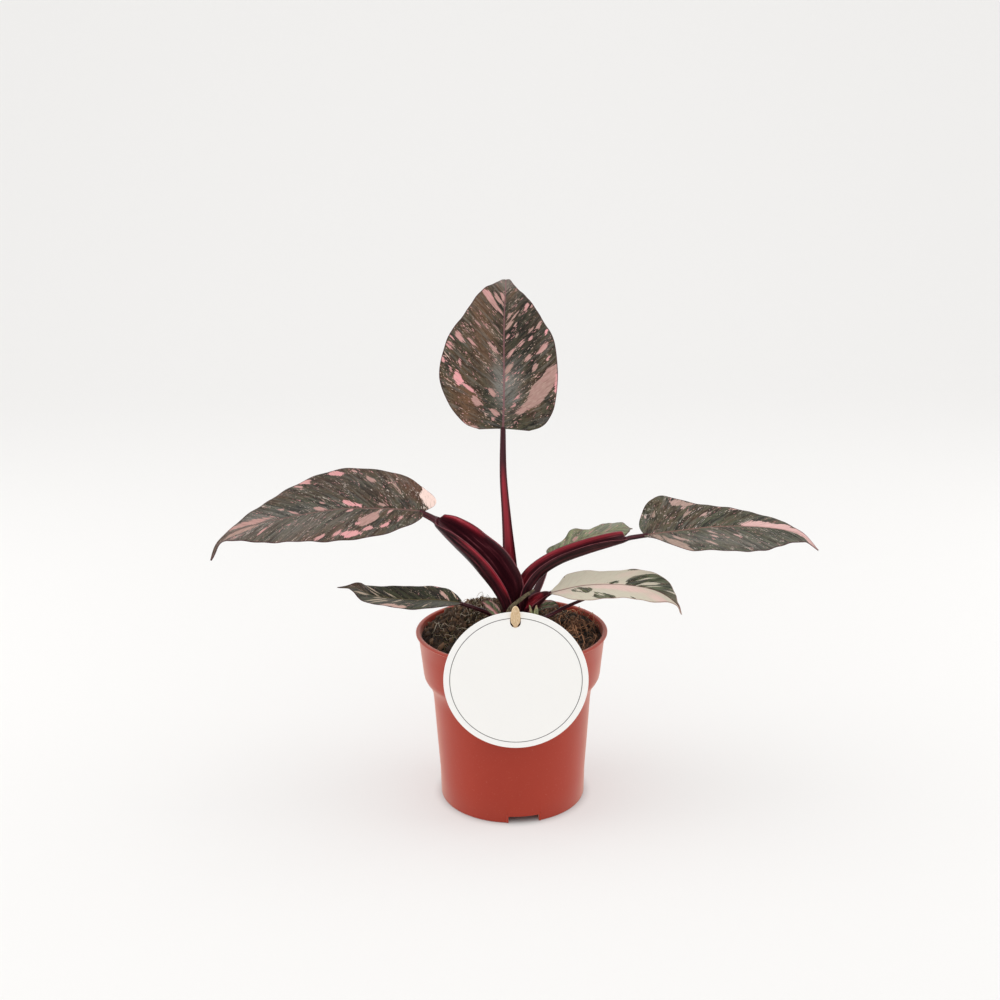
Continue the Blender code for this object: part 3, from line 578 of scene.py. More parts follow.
# Stem and stalks: the short stem and the seven leaf stalks that clasp it grew as one glossy dark
# red piece. Each stalk is a trough whose inside is crimson; its two wings are thin and end free.
STEM_PATH = ((0.5, 0.5, 70), (0.5, 0.5, 95), (0.5, 0.5, 113), (1, 1, 126))
STEM_RADII = (5.0, 6.4, 6.6, 4.0)
STEM_SIDES = 40

# A stalk's table gives its path from the stem to the blade and, at each point of the path, half
# its width, how open its groove is, the height of its wings and what the far wing adds to that.
# Its wings end at tip. Its crimson bands say whether they lie inside the groove (1) or outside
# (0), their middle and spread round the wall from -1 to 1, their start and end, and how strong.
STALKS = {
    "top": dict(
        path=((0.8, 1.6, 112), (0.5, 4.5, 130), (-0.6, 4.5, 150), (-2.6, 5, 180), (-4.4, 6.5, 208),
              (-4.3, 9.4, 236.5)),
        opens=(0, -1, 0.1),
        half=(5.0, 5.0, 4.3, 2.9, 2.2, 1.6), open=(0, 0.5, 0.7, 0.7, 0.6, 0.2),
        wing=(0, 0, 0.6, 0.4, 0, 0),
        red=((1, 0, 0.55, 0.2, 0.85, 1.1),),
    ),
    "left": dict(
        path=((0.4, -1.8, 112), (-0.8, -4, 125), (-5.9, -5.8, 139.5), (-14.6, -6.8, 154),
              (-25.2, -7.4, 166.8), (-36, -8, 176.6), (-42.6, -8.4, 181.4), (-46.5, -8.5, 184),
              (-55.5, -9, 188.6)),
        opens=(0.55, -0.45, 0.8), tip=6.15,
        half=(5, 5.3, 6.8, 8.2, 8.3, 6.8, 4.6, 2.7, 1.9), open=(0, 0.6, 1, 1, 1, 1, 0.9, 0.4, 0.1),
        wing=(0, 4, 6.5, 7.4, 6.6, 4.2, 0.9, 0, 0), far=(0, 2.5, 5.5, 4.2, 1.4, 1.8, 2.8, 0, 0),
        red=((0, -0.9, 0.07, 0.2, 0.6, 1.6), (0, -0.96, 0.04, 0.55, 0.75, 1),
             (1, 0.95, 0.13, 0.46, 0.82, 1.4)),
    ),
    "right": dict(
        path=((2, 0, 112), (4.5, 0, 127), (9, 0, 138.5), (17, 1, 147.5), (29.5, 2, 155), (46, 3, 160.8),
              (61, 4, 164.8), (69, 4.6, 166.4), (74, 5, 167.2), (85, 6, 168.3)),
        opens=(-0.2, -0.15, 1), tip=7.3,
        half=(5, 5.6, 5.2, 4.6, 4.2, 4.0, 3.6, 2.9, 1.9, 1.5),
        open=(0, 0.5, 1, 1, 1, 1, 1, 0.9, 0.3, 0.1),
        wing=(0, 2.5, 4, 4.4, 4.4, 4.4, 4.2, 4, 0, 0), far=(0, -1, -1, -1, -1, -1, -2, -3.5, 0, 0),
        red=((1, -0.6, 0.42, 0.04, 0.3, 1.4), (1, -0.9, 0.16, 0.24, 0.86, 1.2)),
    ),
    "back": dict(
        path=((3, 3, 112), (9, 7, 122), (16, 12, 131), (21.5, 20, 141), (25, 28.4, 150.4)),
        opens=(-0.4, -0.6, 0.7),
        half=(4, 3, 2.6, 2, 1.3), open=(0, 0.3, 0.6, 0.5, 0.1),
        red=((0, 0, 1.2, 0.15, 0.9, 0.5),),
    ),
    "low_left": dict(
        path=((-2, -3, 112), (-8, -4, 119), (-19, -6, 124.8), (-32.6, -8, 129.9)),
        opens=(0, -0.2, 1),
        half=(4, 2.6, 1.8, 1.2), open=(0, 0.4, 0.4, 0.1),
    ),
    "low_right": dict(
        path=((3, -3, 112), (8, -5, 122), (14, -7, 130), (20, -8, 134.5), (24.6, -8, 135.9)),
        opens=(-0.5, -0.3, 0.8),
        half=(5, 5.6, 5, 3, 1.2), open=(0, 0.5, 1, 0.9, 0.1), wing=(0, 0.5, 1.5, 0.6, 0),
        red=((1, -0.6, 0.3, 0.2, 0.75, 1),),
    ),
    "hidden": dict(
        path=((4.5, -3.5, 114), (20.6, -10, 120.7), (33, -4, 125), (46.6, 3.7, 127.9)),
        opens=(0, -0.2, 1),
        half=(2.5, 1.5, 1.3, 1.0), open=(0, 0.2, 0.3, 0.1),
    ),
}
STALK_WALL = 1.1
STALK_ARC = 22
STALK_STEPS = 14
WING_END = 0.2
SKIN_DARK = (28, 9, 15)
SKIN_LIGHT = (84, 32, 41)
SKIN_BLOTCH = (78, 40, 44)
SKIN_INSIDE = (70, 22, 32)
SKIN_STREAK = (146, 82, 90)
CRIMSON_DARK = (112, 18, 32)
CRIMSON_LIGHT = (164, 42, 56)
CRIMSON_GLINT = (214, 104, 112)
CRIMSON_BRIGHT = (206, 70, 84)
WING_EDGE_AND_HIGHLIGHT = (168, 96, 104)


def smooth_points(points, shares):
    """Points on the smooth curve through points, at shares of their count."""
    points = np.asarray(points, float)
    last = len(points) - 1
    place = np.clip(np.asarray(shares, float) * last, 0, last - 1e-6)
    start = place.astype(int)
    step = (place - start)[:, None]
    padded = np.vstack((2 * points[0] - points[1], points, 2 * points[-1] - points[-2]))
    before, here, there, after = (padded[start + k] for k in range(4))
    return 0.5 * (2 * here + (there - before) * step
                  + (2 * before - 5 * here + 4 * there - after) * step**2
                  + (3 * here - before - 3 * there + after) * step**3)


def smooth_values(spots, values, places):
    """Values between those given at spots, with no overshoot."""
    spots, values = np.asarray(spots, float), np.asarray(values, float)
    places = np.clip(places, spots[0], spots[-1])
    slopes = np.diff(values) / np.diff(spots)
    both = slopes[:-1] * slopes[1:]
    inner = np.where(both > 0, 2 * both / np.where(both > 0, slopes[:-1] + slopes[1:], 1), 0)
    tangents = np.concatenate(([slopes[0]], inner, [slopes[-1]]))
    i = np.clip(np.searchsorted(spots, places, side="right") - 1, 0, len(spots) - 2)
    width = spots[i + 1] - spots[i]
    s = (places - spots[i]) / width
    return ((2 * s**3 - 3 * s**2 + 1) * values[i] + (s**3 - 2 * s**2 + s) * width * tangents[i]
            + (3 * s**2 - 2 * s**3) * values[i + 1] + (s**3 - s**2) * width * tangents[i + 1])


def unit(vectors):
    return vectors / np.linalg.norm(vectors, axis=-1, keepdims=True)


def tube_faces(rings, sides, start=0):
    """The sides of a tube whose rings follow one another, and its two flat ends."""
    faces = []
    for ring in range(rings - 1):
        for k in range(sides):
            a, b = start + ring * sides + k, start + ring * sides + (k + 1) % sides
            faces.append((a, b, b + sides, a + sides))
    faces.append(tuple(start + k for k in reversed(range(sides))))
    faces.append(tuple(start + (rings - 1) * sides + k for k in range(sides)))
    return faces


def direction(path, shares):
    """The way that a smooth path runs at each share of its length."""
    ahead = smooth_points(path, np.minimum(shares + 0.01, 1))
    return unit(ahead - smooth_points(path, np.maximum(shares - 0.01, 0)))


def stalk_points(stalk):
    """The rings of a stalk, with three marks for its finish: how crimson each point is, how far
    inside the groove it lies, and how near a wing's edge."""
    last = len(stalk["path"]) - 1
    shares = np.arange(last * STALK_STEPS + 1) / (last * STALK_STEPS)
    middle = smooth_points(stalk["path"], shares)
    forward = direction(stalk["path"], shares)
    up = np.asarray(stalk["opens"], float)
    up = unit(up - (forward @ up)[:, None] * forward)
    side = np.cross(forward, up)
    none = (0,) * (last + 1)
    half, opened, wing, higher = (
        smooth_values(range(last + 1), stalk.get(key, none), shares * last)[:, None]
        for key in ("half", "open", "wing", "far"))
    left = np.clip(1 - (shares * last - stalk.get("tip", last)) / WING_END, 0, 1)[:, None]
    turns = np.pi * (1 + np.arange(STALK_ARC + 1) / STALK_ARC)[None, :]
    across, down = np.cos(turns), np.sin(turns)
    rise = (wing * left + np.where(across > 0, higher * left, 0)) * np.abs(across) ** 3
    outer = np.stack((half * across, half * down + rise), -1)
    wall = STALK_WALL * (0.4 + 0.6 * np.abs(down) ** 0.5)
    depth = np.maximum(half - wall, 0.3 * half)
    width = half * (1 - opened) + depth * opened
    height = -half * down * (1 - opened) + (depth * down + rise) * opened
    inner = np.stack((width * across, height), -1)[:, -2:0:-1]
    ring = np.concatenate((outer, inner), 1)
    points = middle[:, None] + side[:, None] * ring[..., :1] + up[:, None] * ring[..., 1:]
    rings, count = ring.shape[:2]
    grooved = np.minimum(1, opened * 2)
    inside = np.zeros((rings, count))
    inside[:, STALK_ARC + 1:] = grooved
    arc = np.linspace(-1, 1, STALK_ARC + 1)
    arc = np.concatenate((arc, arc[-2:0:-1]))[None]
    along = np.repeat(shares[:, None], count, 1)
    red = np.zeros((rings, count))
    for within, centre, spread, start, end, amount in stalk.get("red", ()):
        band = np.exp(-(((arc - centre) / spread) ** 2) ** 1.5)
        reach = np.clip((along - start) / 0.06, 0, 1) * np.clip((end - along) / 0.1, 0, 1)
        red = np.maximum(red, amount * band * reach * (inside if within else inside == 0))
    marks = np.stack((red, inside, np.abs(arc) * grooved), -1)
    return points.reshape(-1, 3), marks.reshape(-1, 3), rings, count


def round_points(path, radii, sides, steps):
    """The rings of a round tube with its own radius at each point of its path."""
    last = len(path) - 1
    shares = np.arange(last * steps + 1) / (last * steps)
    middle = smooth_points(path, shares)
    forward = direction(path, shares)
    start = np.array((1.0, 0, 0)) if abs(forward[0][0]) < 0.8 else np.array((0, 1.0, 0))
    side = unit(start - (forward @ start)[:, None] * forward)
    other = np.cross(forward, side)
    radius = smooth_values(range(last + 1), radii, shares * last)[:, None, None]
    turns = (math.tau * np.arange(sides) / sides)[None, :, None]
    ring = side[:, None] * np.cos(turns) + other[:, None] * np.sin(turns)
    return (middle[:, None] + ring * radius).reshape(-1, 3), len(shares)


def read_marks(tree, name):
    """The three values that an attribute holds at each point."""
    marks = node(tree, "Attribute", attribute_name=name).outputs["Vector"]
    return node(tree, "SeparateXYZ", {0: marks}).outputs


def stalk_skin():
    """Glossy dark maroon outside, crimson in the groove, with fine lengthwise streaks, pink glints on
    the crimson that are a painted highlight, and a paler line along each wing's edge that is partly
    its pale margin and partly a painted highlight."""
    made, tree, shader = new_material("glossy_red_stalk")
    red, inside, edge = read_marks(tree, "marks")
    round_it = node(tree, "Attribute", attribute_name="streak").outputs["Vector"]
    streaks = cloud(tree, round_it, 1.0, 4, 0.6)
    blotch = cloud(tree, node(tree, "TexCoord").outputs["Object"], 90, 3)
    skin = blend(tree, fade(tree, streaks, 0.4, 0.66), SKIN_DARK, SKIN_LIGHT)
    skin = blend(tree, fade(tree, blotch, 0.5, 0.75, 0, 0.45), skin, SKIN_BLOTCH)
    skin = blend(tree, number(tree, "MULTIPLY", inside, 0.45), skin, SKIN_INSIDE)
    skin = blend(tree, fade(tree, streaks, 0.6, 0.72, 0, 0.7), skin, SKIN_STREAK)
    crimson = blend(tree, fade(tree, streaks, 0.3, 0.62), CRIMSON_DARK, CRIMSON_LIGHT)
    # Pink glints on the brightest crimson streaks: a painted highlight.
    crimson = blend(tree, fade(tree, streaks, 0.58, 0.72, 0, 0.8), crimson, CRIMSON_GLINT)
    crimson = blend(tree, fade(tree, red, 1.0, 1.6, 0, 0.6), crimson, CRIMSON_BRIGHT)
    colour = blend(tree, red, skin, crimson)
    # The pale line along each wing's edge is partly its paler margin and partly a painted highlight,
    # broken into patches.
    rim_patches = fade(tree, blotch, 0.35, 0.6, 0.3, 0.8)
    rim = number(tree, "MULTIPLY", fade(tree, edge, 0.93, 0.99), rim_patches)
    colour = blend(tree, rim, colour, WING_EDGE_AND_HIGHLIGHT)
    fill(tree, shader, {"Base Color": colour, "Roughness": 0.3, "Specular IOR Level": 0.22,
                        "Normal": relief(tree, streaks, 0.35, 0.3)})
    return made


def make_stems():
    """The stem and its stalks as one mesh, with the marks and the lengthwise streaks of each."""
    stem, rings = round_points(STEM_PATH, STEM_RADII, STEM_SIDES, 12)
    faces = tube_faces(rings, STEM_SIDES)
    points, marks, streaks = [stem], [np.zeros_like(stem)], [stem * (0.9, 0.9, 0.12)]
    start = len(stem)
    for k, stalk in enumerate(STALKS.values()):
        ring, mark, rings, sides = stalk_points(stalk)
        faces += tube_faces(rings, sides, start)
        start += len(ring)
        points.append(ring)
        marks.append(mark)
        turn = np.arange(sides) * math.tau / sides
        length = np.repeat(np.arange(rings), sides) / rings
        streaks.append(np.stack((np.tile(np.cos(turn) * 7, rings), np.tile(np.sin(turn) * 7, rings),
                                 length * 4 + 17 * k), -1))
    made = solid("stem_and_stalk_skin", np.concatenate(points), faces)
    attribute(made, "marks", "FLOAT_VECTOR", np.concatenate(marks))
    attribute(made, "streak", "FLOAT_VECTOR", np.concatenate(streaks))
    made.data.materials.append(stalk_skin())
    smooth(made, 50)
    return made


stems = make_stems()
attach(stems, "root")
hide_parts("stem_and_stalks")

# Blades: firm leathery leaves, each one grown whole. The upper side is dark green and brown
# with a painted silvery sheen, splashed along its side veins with pink and cream; the midrib
# stands out below.
SPOTS = (0, 0.02, 0.05, 0.12, 0.22, 0.35, 0.5, 0.65, 0.8, 0.9, 0.96, 1)
VEIN_REACH = (-0.05, -0.04, -0.03, 0, 0.15, 0.3, 0.45, 0.6, 0.8, 1.0, 1.2, 1.2)
LOBE_SHARE = 0.14
BLADE_THICKNESS = 0.62
MARGIN_THICKNESS = 0.36
MIDRIB_DEPTH = 1.1
VEIN_SPACING = 5.2
VEIN_PLACES = (-0.3, 0, 0.15, 0.35, 0.6, 0.8, 1)
VEIN_SLOPES = (-0.9, 0.3, 0.7, 1.0, 1.35, 1.9, 2.6)
VEIN_CURVE = 0.003
SPLASH_TAPER = 0.45
SPLASH_POWER = 1.5

# A blade's table gives its midrib from base to tip, the way its upper side faces at both ends,
# its widths left and right of the midrib at the SPOTS of its length, how far its lobes reach
# back, its fold in degrees and its droop at both ends, and its edge's waves: how many, how high
# and where they start. The grid is how many faces it has along and across.
BLADES = {
    "blade_top": dict(
        midrib=((-4.3, 9, 235.5), (-3.6, 12, 253), (-3.4, 18, 271), (-3.2, 27, 288.5),
                (-2.7, 39, 305), (-1.8, 54, 317), (-1.5, 68, 321.5), (-1.5, 77, 315)),
        facing=((0, -1, 0.1), (0, -0.5, 1)),
        left=(14.5, 22, 26.8, 34, 39.8, 35.6, 25.4, 16.5, 6.5, 2.2, 1.2, 0.5),
        right=(16, 22.8, 27, 31.2, 33, 31.4, 22.8, 13.2, 5, 2.0, 1.1, 0.5),
        lobes=(0, 0), fold=(8, 4), droop=(0.06, 0.10), waves=(3.0, 1.1, 0.9), grid=(170, 120),
    ),
    "blade_left": dict(
        midrib=((-54.4, -9, 188.8), (-72.3, -11, 190.8), (-100.7, -15, 192.1), (-128.4, -19, 189),
                (-156.3, -24, 183.9), (-172, -27, 176.8), (-178.2, -30, 165.4)),
        facing=((0, -0.5, 1), (0, -0.5, 1)),
        left=(8, 12, 16, 22, 27, 29.5, 23.5, 16, 8, 2, 1.2, 0.5),
        right=(20, 23, 27, 34, 36.8, 33, 26.8, 14.5, 5, 1.6, 1.2, 0.5),
        lobes=(1, 9), fold=(8, 2), droop=(0.05, 0.05), waves=(2.5, 1.2, 0.9), grid=(180, 110),
    ),
    "blade_right": dict(
        midrib=((84, 6, 168.3), (98, 4, 170.6), (125.6, 0, 174.7), (153, -4, 175.5),
                (175.4, -8, 172), (186.8, -11, 162.6)),
        facing=((0, -0.35, 1), (0, -0.35, 1)),
        left=(17, 22, 26, 29.8, 25, 19, 14.6, 12, 4.5, 1.8, 1.1, 0.5),
        right=(5, 7, 9.5, 17.5, 34, 35.5, 29, 19.5, 10, 3, 1.1, 0.5),
        lobes=(3.5, 1), fold=(22, 2), droop=(0.02, 0.05), waves=(2.5, 1.0, 0.9), grid=(160, 110),
    ),
    "blade_back": dict(
        midrib=((24.6, 28, 150.6), (37, 32, 154.7), (50, 37, 158.5), (62, 41, 160.4), (73, 45, 161.8),
                (80, 47, 161.2)),
        facing=((0, -0.1, 1), (0, -0.1, 1)),
        left=(3.5, 4.6, 5.5, 6.5, 8.5, 15.5, 10.5, 13, 10.5, 4, 1.2, 0.4),
        right=(3, 4.6, 6, 9, 10, 11, 12, 12, 8, 3, 1.2, 0.4),
        lobes=(1, 1), fold=(8, 2), droop=(0.02, 0.05), waves=(3.5, 0.6, 0.9), grid=(90, 60),
    ),
    "blade_low_left": dict(
        midrib=((-31.8, -8, 130), (-46, -9, 132), (-64, -10, 132.8), (-84, -12, 136), (-95, -13, 141.4),
                (-106, -14, 142.4)),
        facing=((0, -0.2, 1), (0, -0.2, 1)),
        left=(3, 5.5, 8.5, 12.5, 14.5, 15, 14.5, 12.5, 7, 1.6, 0.9, 0.4),
        right=(3, 5.5, 8, 12.5, 14, 12.8, 12, 11, 5.5, 2, 0.9, 0.4),
        lobes=(1, 1), fold=(14, 6), droop=(0.0, 0.0), waves=(2.0, 0.7, 0.9), grid=(120, 64),
    ),
    "blade_low_right": dict(
        midrib=((25, -8, 136), (45.5, -10, 141), (69, -13, 142), (88, -16, 139), (100, -18, 131.5),
                (103.5, -19, 125)),
        facing=((0, -0.2, 1), (0, -0.2, 1)),
        left=(2, 4.5, 7, 14.5, 17.2, 17, 19, 17.5, 9.5, 2.4, 0.8, 0.4),
        right=(2, 4.5, 7, 13.5, 19, 19.5, 18, 14, 6, 1.8, 0.8, 0.4),
        lobes=(1, 1), fold=(5, 2), droop=(0.0, 0.04), waves=(2.2, 0.9, 0.16), grid=(130, 72),
    ),
    "blade_hidden": dict(
        midrib=((47, 4, 128), (56, 9, 130.5), (67, 15, 132), (77, 20, 131.5), (82, 22, 129.5)),
        facing=((0, -0.1, 1), (0, -0.1, 1)),
        left=(1, 2, 3, 5, 6.5, 7, 6.5, 5, 3, 1.3, 0.8, 0.4),
        right=(1, 2, 3, 5, 6.5, 7, 6.5, 5, 3, 1.3, 0.8, 0.4),
        lobes=(0, 0), fold=(6, 3), droop=(0.0, 0.04), waves=(2.0, 0.6, 0.9), grid=(70, 36),
    ),
}

# The splashes of each blade: where on the midrib their side vein comes from, where they start
# and end beside it (left of the midrib is positive), their width, and how pink they are, from 0,
# dull, to 1, vivid, and 2, nearly white. Below 0 is a green area on a paler one.
SPLASHES = {
    "blade_top": (
        (72, 0.5, 14, 5.5, 0.35), (73, 6, 14.5, 6.5, 0.5), (79, 0.5, 7, 4, 0.3),
        (85, 0.3, 3, 6, 0.35), (31, 24, 30, 3, 0.45), (34.5, 17, 22.5, 2.2, 0.4),
        (43, 3, 9, 3, 0.3), (19, 26, 28.5, 2.5, 0.5), (12.5, 25, 30.5, 5, 0.95),
        (11.5, 19, 26, 1.2, 0.8), (13.5, 31, 34, 2, 0.5), (17, 5.5, 10.5, 3, 0.3),
        (7.8, 13.5, 19.5, 3.5, 0.3), (7.5, 3, 9, 3, 0.3), (3.5, 5, 7.5, 1.5, 0.4),
        (-4, 14, 23, 1.5, 0.3), (57, 1, 5, 0.8, 0.2), (52, 10, 12, 1, 0.5), (38, 21, 23.5, 1, 0.4),
        (24, 31, 35, 1.2, 0.5), (27, 30, 33, 1, 0.6), (22, 33, 36, 0.9, 0.7),
        (15, 36, 38.5, 1.1, 0.7), (48, 15, 18, 1, 0.4), (61, -15.5, -12.5, 4, 0.5),
        (58, -18, -16, 2, 0.3), (67.5, -5, -2, 2, 0.25), (61.5, -5, -0.5, 2.8, 0.2),
        (64, -9.5, -4, 2, 0.2), (57, -8, -5.5, 2.2, 0.3), (49.5, -9, -7, 2, 0.1),
        (55, -3, -1, 1.5, 0.5), (44.5, -18.5, -15.5, 1.5, 0.2), (42.5, -23, -19.5, 3.5, 0.3),
        (35, -27.5, -25, 2.5, 0.9), (28, -27, -20, 3.5, 0.4), (42, -13.5, -8.5, 1.6, 0.4),
        (39.5, -17.5, -15, 1.5, 0.5), (42, -7.5, -2.5, 2, 0.4), (30.5, -17, -12.5, 2.5, 0.3),
        (22, -21, -17.5, 3.2, 0.25), (20.5, -28, -25.5, 2, 0.6), (34, -6, -0.5, 4, 0.2),
        (29, -3, -0.5, 2, 0.6), (6.5, -16, -7.5, 2.5, 0.25), (8, -24, -11, 6, 0.2),
        (10.5, -33, -15, 9, 0.2), (13.5, -33, -20, 6.5, 0.25), (9.5, -33.5, -31, 6, 0.95),
        (14, -9.5, -7, 1, 0.6), (11, -8, -6, 1, 0.5),
    ),
    "blade_left": (
        (39, -8, -2, 4.5, 0.85), (35.5, -4, -0.5, 2.5, 0.85), (58, -5, -0.5, 5, 0.3),
        (51.5, -8, -5.5, 1.8, 0.3), (72.5, -5.5, -1, 2, 0.35), (73, -9, -6.5, 2, 0.35),
        (24, -34, -29, 6, 0.7), (39.5, -31, -26, 5, 0.6), (44.5, -28, -25, 3, 0.4),
        (16, -34, -32, 2, 0.3), (13.5, -29, -23, 3.5, 0.25), (6, -22, -10, 0.8, 0.1),
        (21, -5, -1.5, 3, 0.2), (98, -4.5, -0.5, 24, 0.3), (-9.5, -30, 2, 13, 2),
        (85, 4.5, 10, 2, 0.5), (23.5, 3, 16.5, 8.5, 0.25), (26.5, 13, 16.5, 3, 0.7),
        (12.5, 13.5, 18, 2.5, 0.75), (17, 1.5, 5, 1.5, 0.5), (18.5, 17, 21, 4, 0.6),
        (23.5, 21, 27, 9, 0.8), (40.5, 0.5, 3.5, 3, 0.45), (31, 21, 26, 2, 0.6),
        (8, 6, 11, 1.4, 0.5), (105, 0.5, 4, 18, 0.15), (38, 22, 27, 3, 0.5),
    ),
    "blade_right": (
        (6.5, 21.5, 27, 4, 0.3), (9, 21, 25.5, 5, 0.2), (12.5, 20.3, 23.5, 5, 0.25),
        (26.5, 10, 13, 1.6, 0.4), (16, 10, 15, 1.5, 0.3), (0.5, 12, 16, 1.8, 0.1),
        (12.5, 17.5, 20, 1.2, 0.5), (39, 14.5, 16, 3, 0.5), (64, -1.5, 5.5, 17, 0.9),
        (76, -1.5, 5.5, 18, 0.9), (90, -2, 5, 16, 0.85), (100, -1, 2, 30, 0.8),
        (33, -11, -6, 2, 0.5), (42, -14, -10, 2.2, 0.6), (29, -16, -12, 2, 0.5),
        (7.5, -34, -5, 4, 0.12), (4, -15, -3, 2.5, 0.1), (12, -18, -6, 2, 0.3),
        (98, -1.8, 0.4, 24, 0.8), (20, -26, -20, 1.6, 0.3),
    ),
    "blade_back": (
        (18, 0.5, 4.5, 3, 0.3), (40, 0.5, 5, 3, 0.1), (10, 1, 4, 1, 0.1), (27, 4, 8, 1.2, 0.2),
    ),
    "blade_low_left": (
        (6.5, -16.5, -12.5, 3.4, 0.7), (1.5, -16, -4, 1.4, 0.1), (7, -10, -1.8, 2.4, 0.45),
        (12, -15, -13, 1.2, 0.1), (39, -5, -1.5, 1.2, 0.1), (46, -9, -3, 1.4, 0.1),
        (50, -6, -0.5, 1.6, 0.1), (31, 10, 15, 7, 0.4), (24.5, 10.5, 15, 6, 0.4),
        (48, 0.5, 4, 2.5, 0.05), (40, 2, 9, 1.2, 0.05), (44, 3, 11, 1.6, 0.05), (55, 1, 6, 3, 0.1),
        (34, 2, 7, 1, 0.05), (14, 3, 8, 0.9, 0.1),
    ),
    "blade_low_right": (
        (66, -14, 27, 54, -1), (31, 16.5, 20, 5, -1), (15, -11, -2, 10, -1),
        (19, -21, -10, 10, -1), (33, -19, -15, 2.5, -1), (36, 0.3, 4, 7, -1),
        (2.5, 8, 15, 1.3, -1), (80, -8, -1, 12, -1), (52, 0.3, 9, 4.2, 0.1), (57, 1, 7, 1.2, 0.1),
        (45, 5, 12, 1.1, 0.1), (62, 6, 12, 1.5, 0.1), (13, -8, -4, 1.6, 0.2),
        (19, -15, -11, 1.6, 0.15), (38, -9, 0, 34, 0.75), (58, -14, -4, 20, 0.7),
        (5, -7, -1, 8, 0.6), (33, 8, 18, 6, 0.35), (8, -9, -3, 2, 0.5),
    ),
    "blade_hidden": ((20, 1, 6, 8, 0.4), (12, -6, -1, 3, 0.2)),
}

# Tints of the green between the splashes: the same two places, how far each tint reaches along
# and across the blade, and how much brown, painted silvery sheen and darkness it adds there.
TINTS = {
    "blade_top": (
        (54, 14, 22, 9, 0.65, 0, 0), (56, -9, 26, 12, 0, -0.2, 0.75), (26, 3, 13, 5, 0, 0.9, 0),
        (24, -5, 13, 6, 0, 0.8, 0), (6, 24, 12, 10, 0.7, 0, 0.1), (36, -20, 14, 8, 0, 0, 0.6),
        (30, 18, 14, 7, 0.2, 0, 0.2), (10, 4, 9, 6, -0.3, 0, 0.2), (98, 0, 7, 8, 0.6, 0.5, 0),
    ),
    "blade_left": (
        (30, -24, 24, 9, 0.15, 0.1, 0.3), (-2, -20, 7, 12, 0.9, 0, 0),
        (60, 10, 20, 10, 0.1, 0.4, 0), (70, -5, 20, 6, -0.4, 0.2, 0.2),
        (96, -7, 12, 5, 0.3, 0.3, 0.3), (95, 0, 14, 12, 0, 0.5, 0), (20, -10, 16, 9, 0.1, 0, 0.35),
        (40, 22, 26, 6, 0.35, 0.1, 0), (110, 0, 7, 6, 0.5, 0.3, 0),
    ),
    "blade_right": (
        (15, 18, 18, 9, 0.3, 0, 0), (30, -18, 26, 9, 0, 0.3, 0), (50, 8, 20, 5, 0.1, 0, 0.2),
        (40, -24, 14, 5, 0.2, 0.2, 0.15), (5, -8, 8, 10, 0.2, 0.25, 0),
    ),
    "blade_back": ((20, 14, 5, 4, 1, 0, 0), (38, 8, 14, 6, 0, 0.4, 0)),
    "blade_low_left": (
        (56, -8, 8, 6, 1, 0, 0), (22, -8, 16, 7, 0, -0.3, 0.75), (38, 8, 16, 6, -0.3, 0.3, -0.2),
        (10, 6, 10, 6, 0, 0.3, 0), (66, 0, 7, 6, 0.5, 0.3, 0),
    ),
    "blade_low_right": ((82, 0, 10, 12, 0.8, 0.1, 0.1), (52, 8, 16, 8, -0.2, 0, 0.1)),
    "blade_hidden": (),
}

# A leaf's look: how pale, warm and flecked it is, how strong its painted silvery sheen is, how far
# its deep green is shaded, how strongly its splashes are striped, and its colours. A blade names
# only what differs from this.
LEAF_LOOK = dict(
    pale=0, warm=0.3, sheen=0.3, flecks=0.4, shade=0.45, stripe=0.5,
    ground=(62, 60, 46), brown=(98, 62, 44), painted_silver_sheen=(134, 132, 126), dark=(26, 24, 20),
    thread=(122, 102, 86), gap=(22, 18, 16), dull=(146, 126, 112), vivid=(240, 162, 168),
    cream=(246, 218, 208), veining=(208, 182, 166), stripes=(120, 92, 78), fleck=(204, 178, 162),
    fleck_pink=(220, 158, 156), rib=(136, 84, 84), rim=(70, 36, 40), back=(118, 74, 72),
)
LOOKS = {
    "blade_top": dict(warm=0.26, sheen=0.35, flecks=0.52, rib=(138, 92, 98), brown=(116, 84, 62)),
    "blade_left": dict(warm=0.34, sheen=0.32, flecks=0.55, ground=(64, 64, 50), rib=(124, 92, 86),
                       fleck=(202, 188, 176)),
    "blade_right": dict(warm=0.2, sheen=0.35, flecks=0.55, ground=(76, 78, 62), rib=(146, 108, 98),
                        vivid=(230, 184, 182), fleck=(204, 192, 182)),
    "blade_back": dict(warm=0.0, sheen=0.35, flecks=0.45, ground=(118, 124, 92),
                       rib=(120, 88, 72), shade=0.78),
    "blade_low_left": dict(warm=0.1, sheen=0.12, flecks=0.3, ground=(58, 62, 40),
                           rib=(112, 100, 70), dull=(202, 190, 164)),
    "blade_low_right": dict(pale=1, warm=0.25, flecks=0.2, ground=(92, 100, 76),
                            rib=(124, 66, 70), dull=(205, 203, 182), vivid=(240, 200, 194),
                            rim=(158, 128, 116), stripe=0.1),
    "blade_hidden": dict(),
}


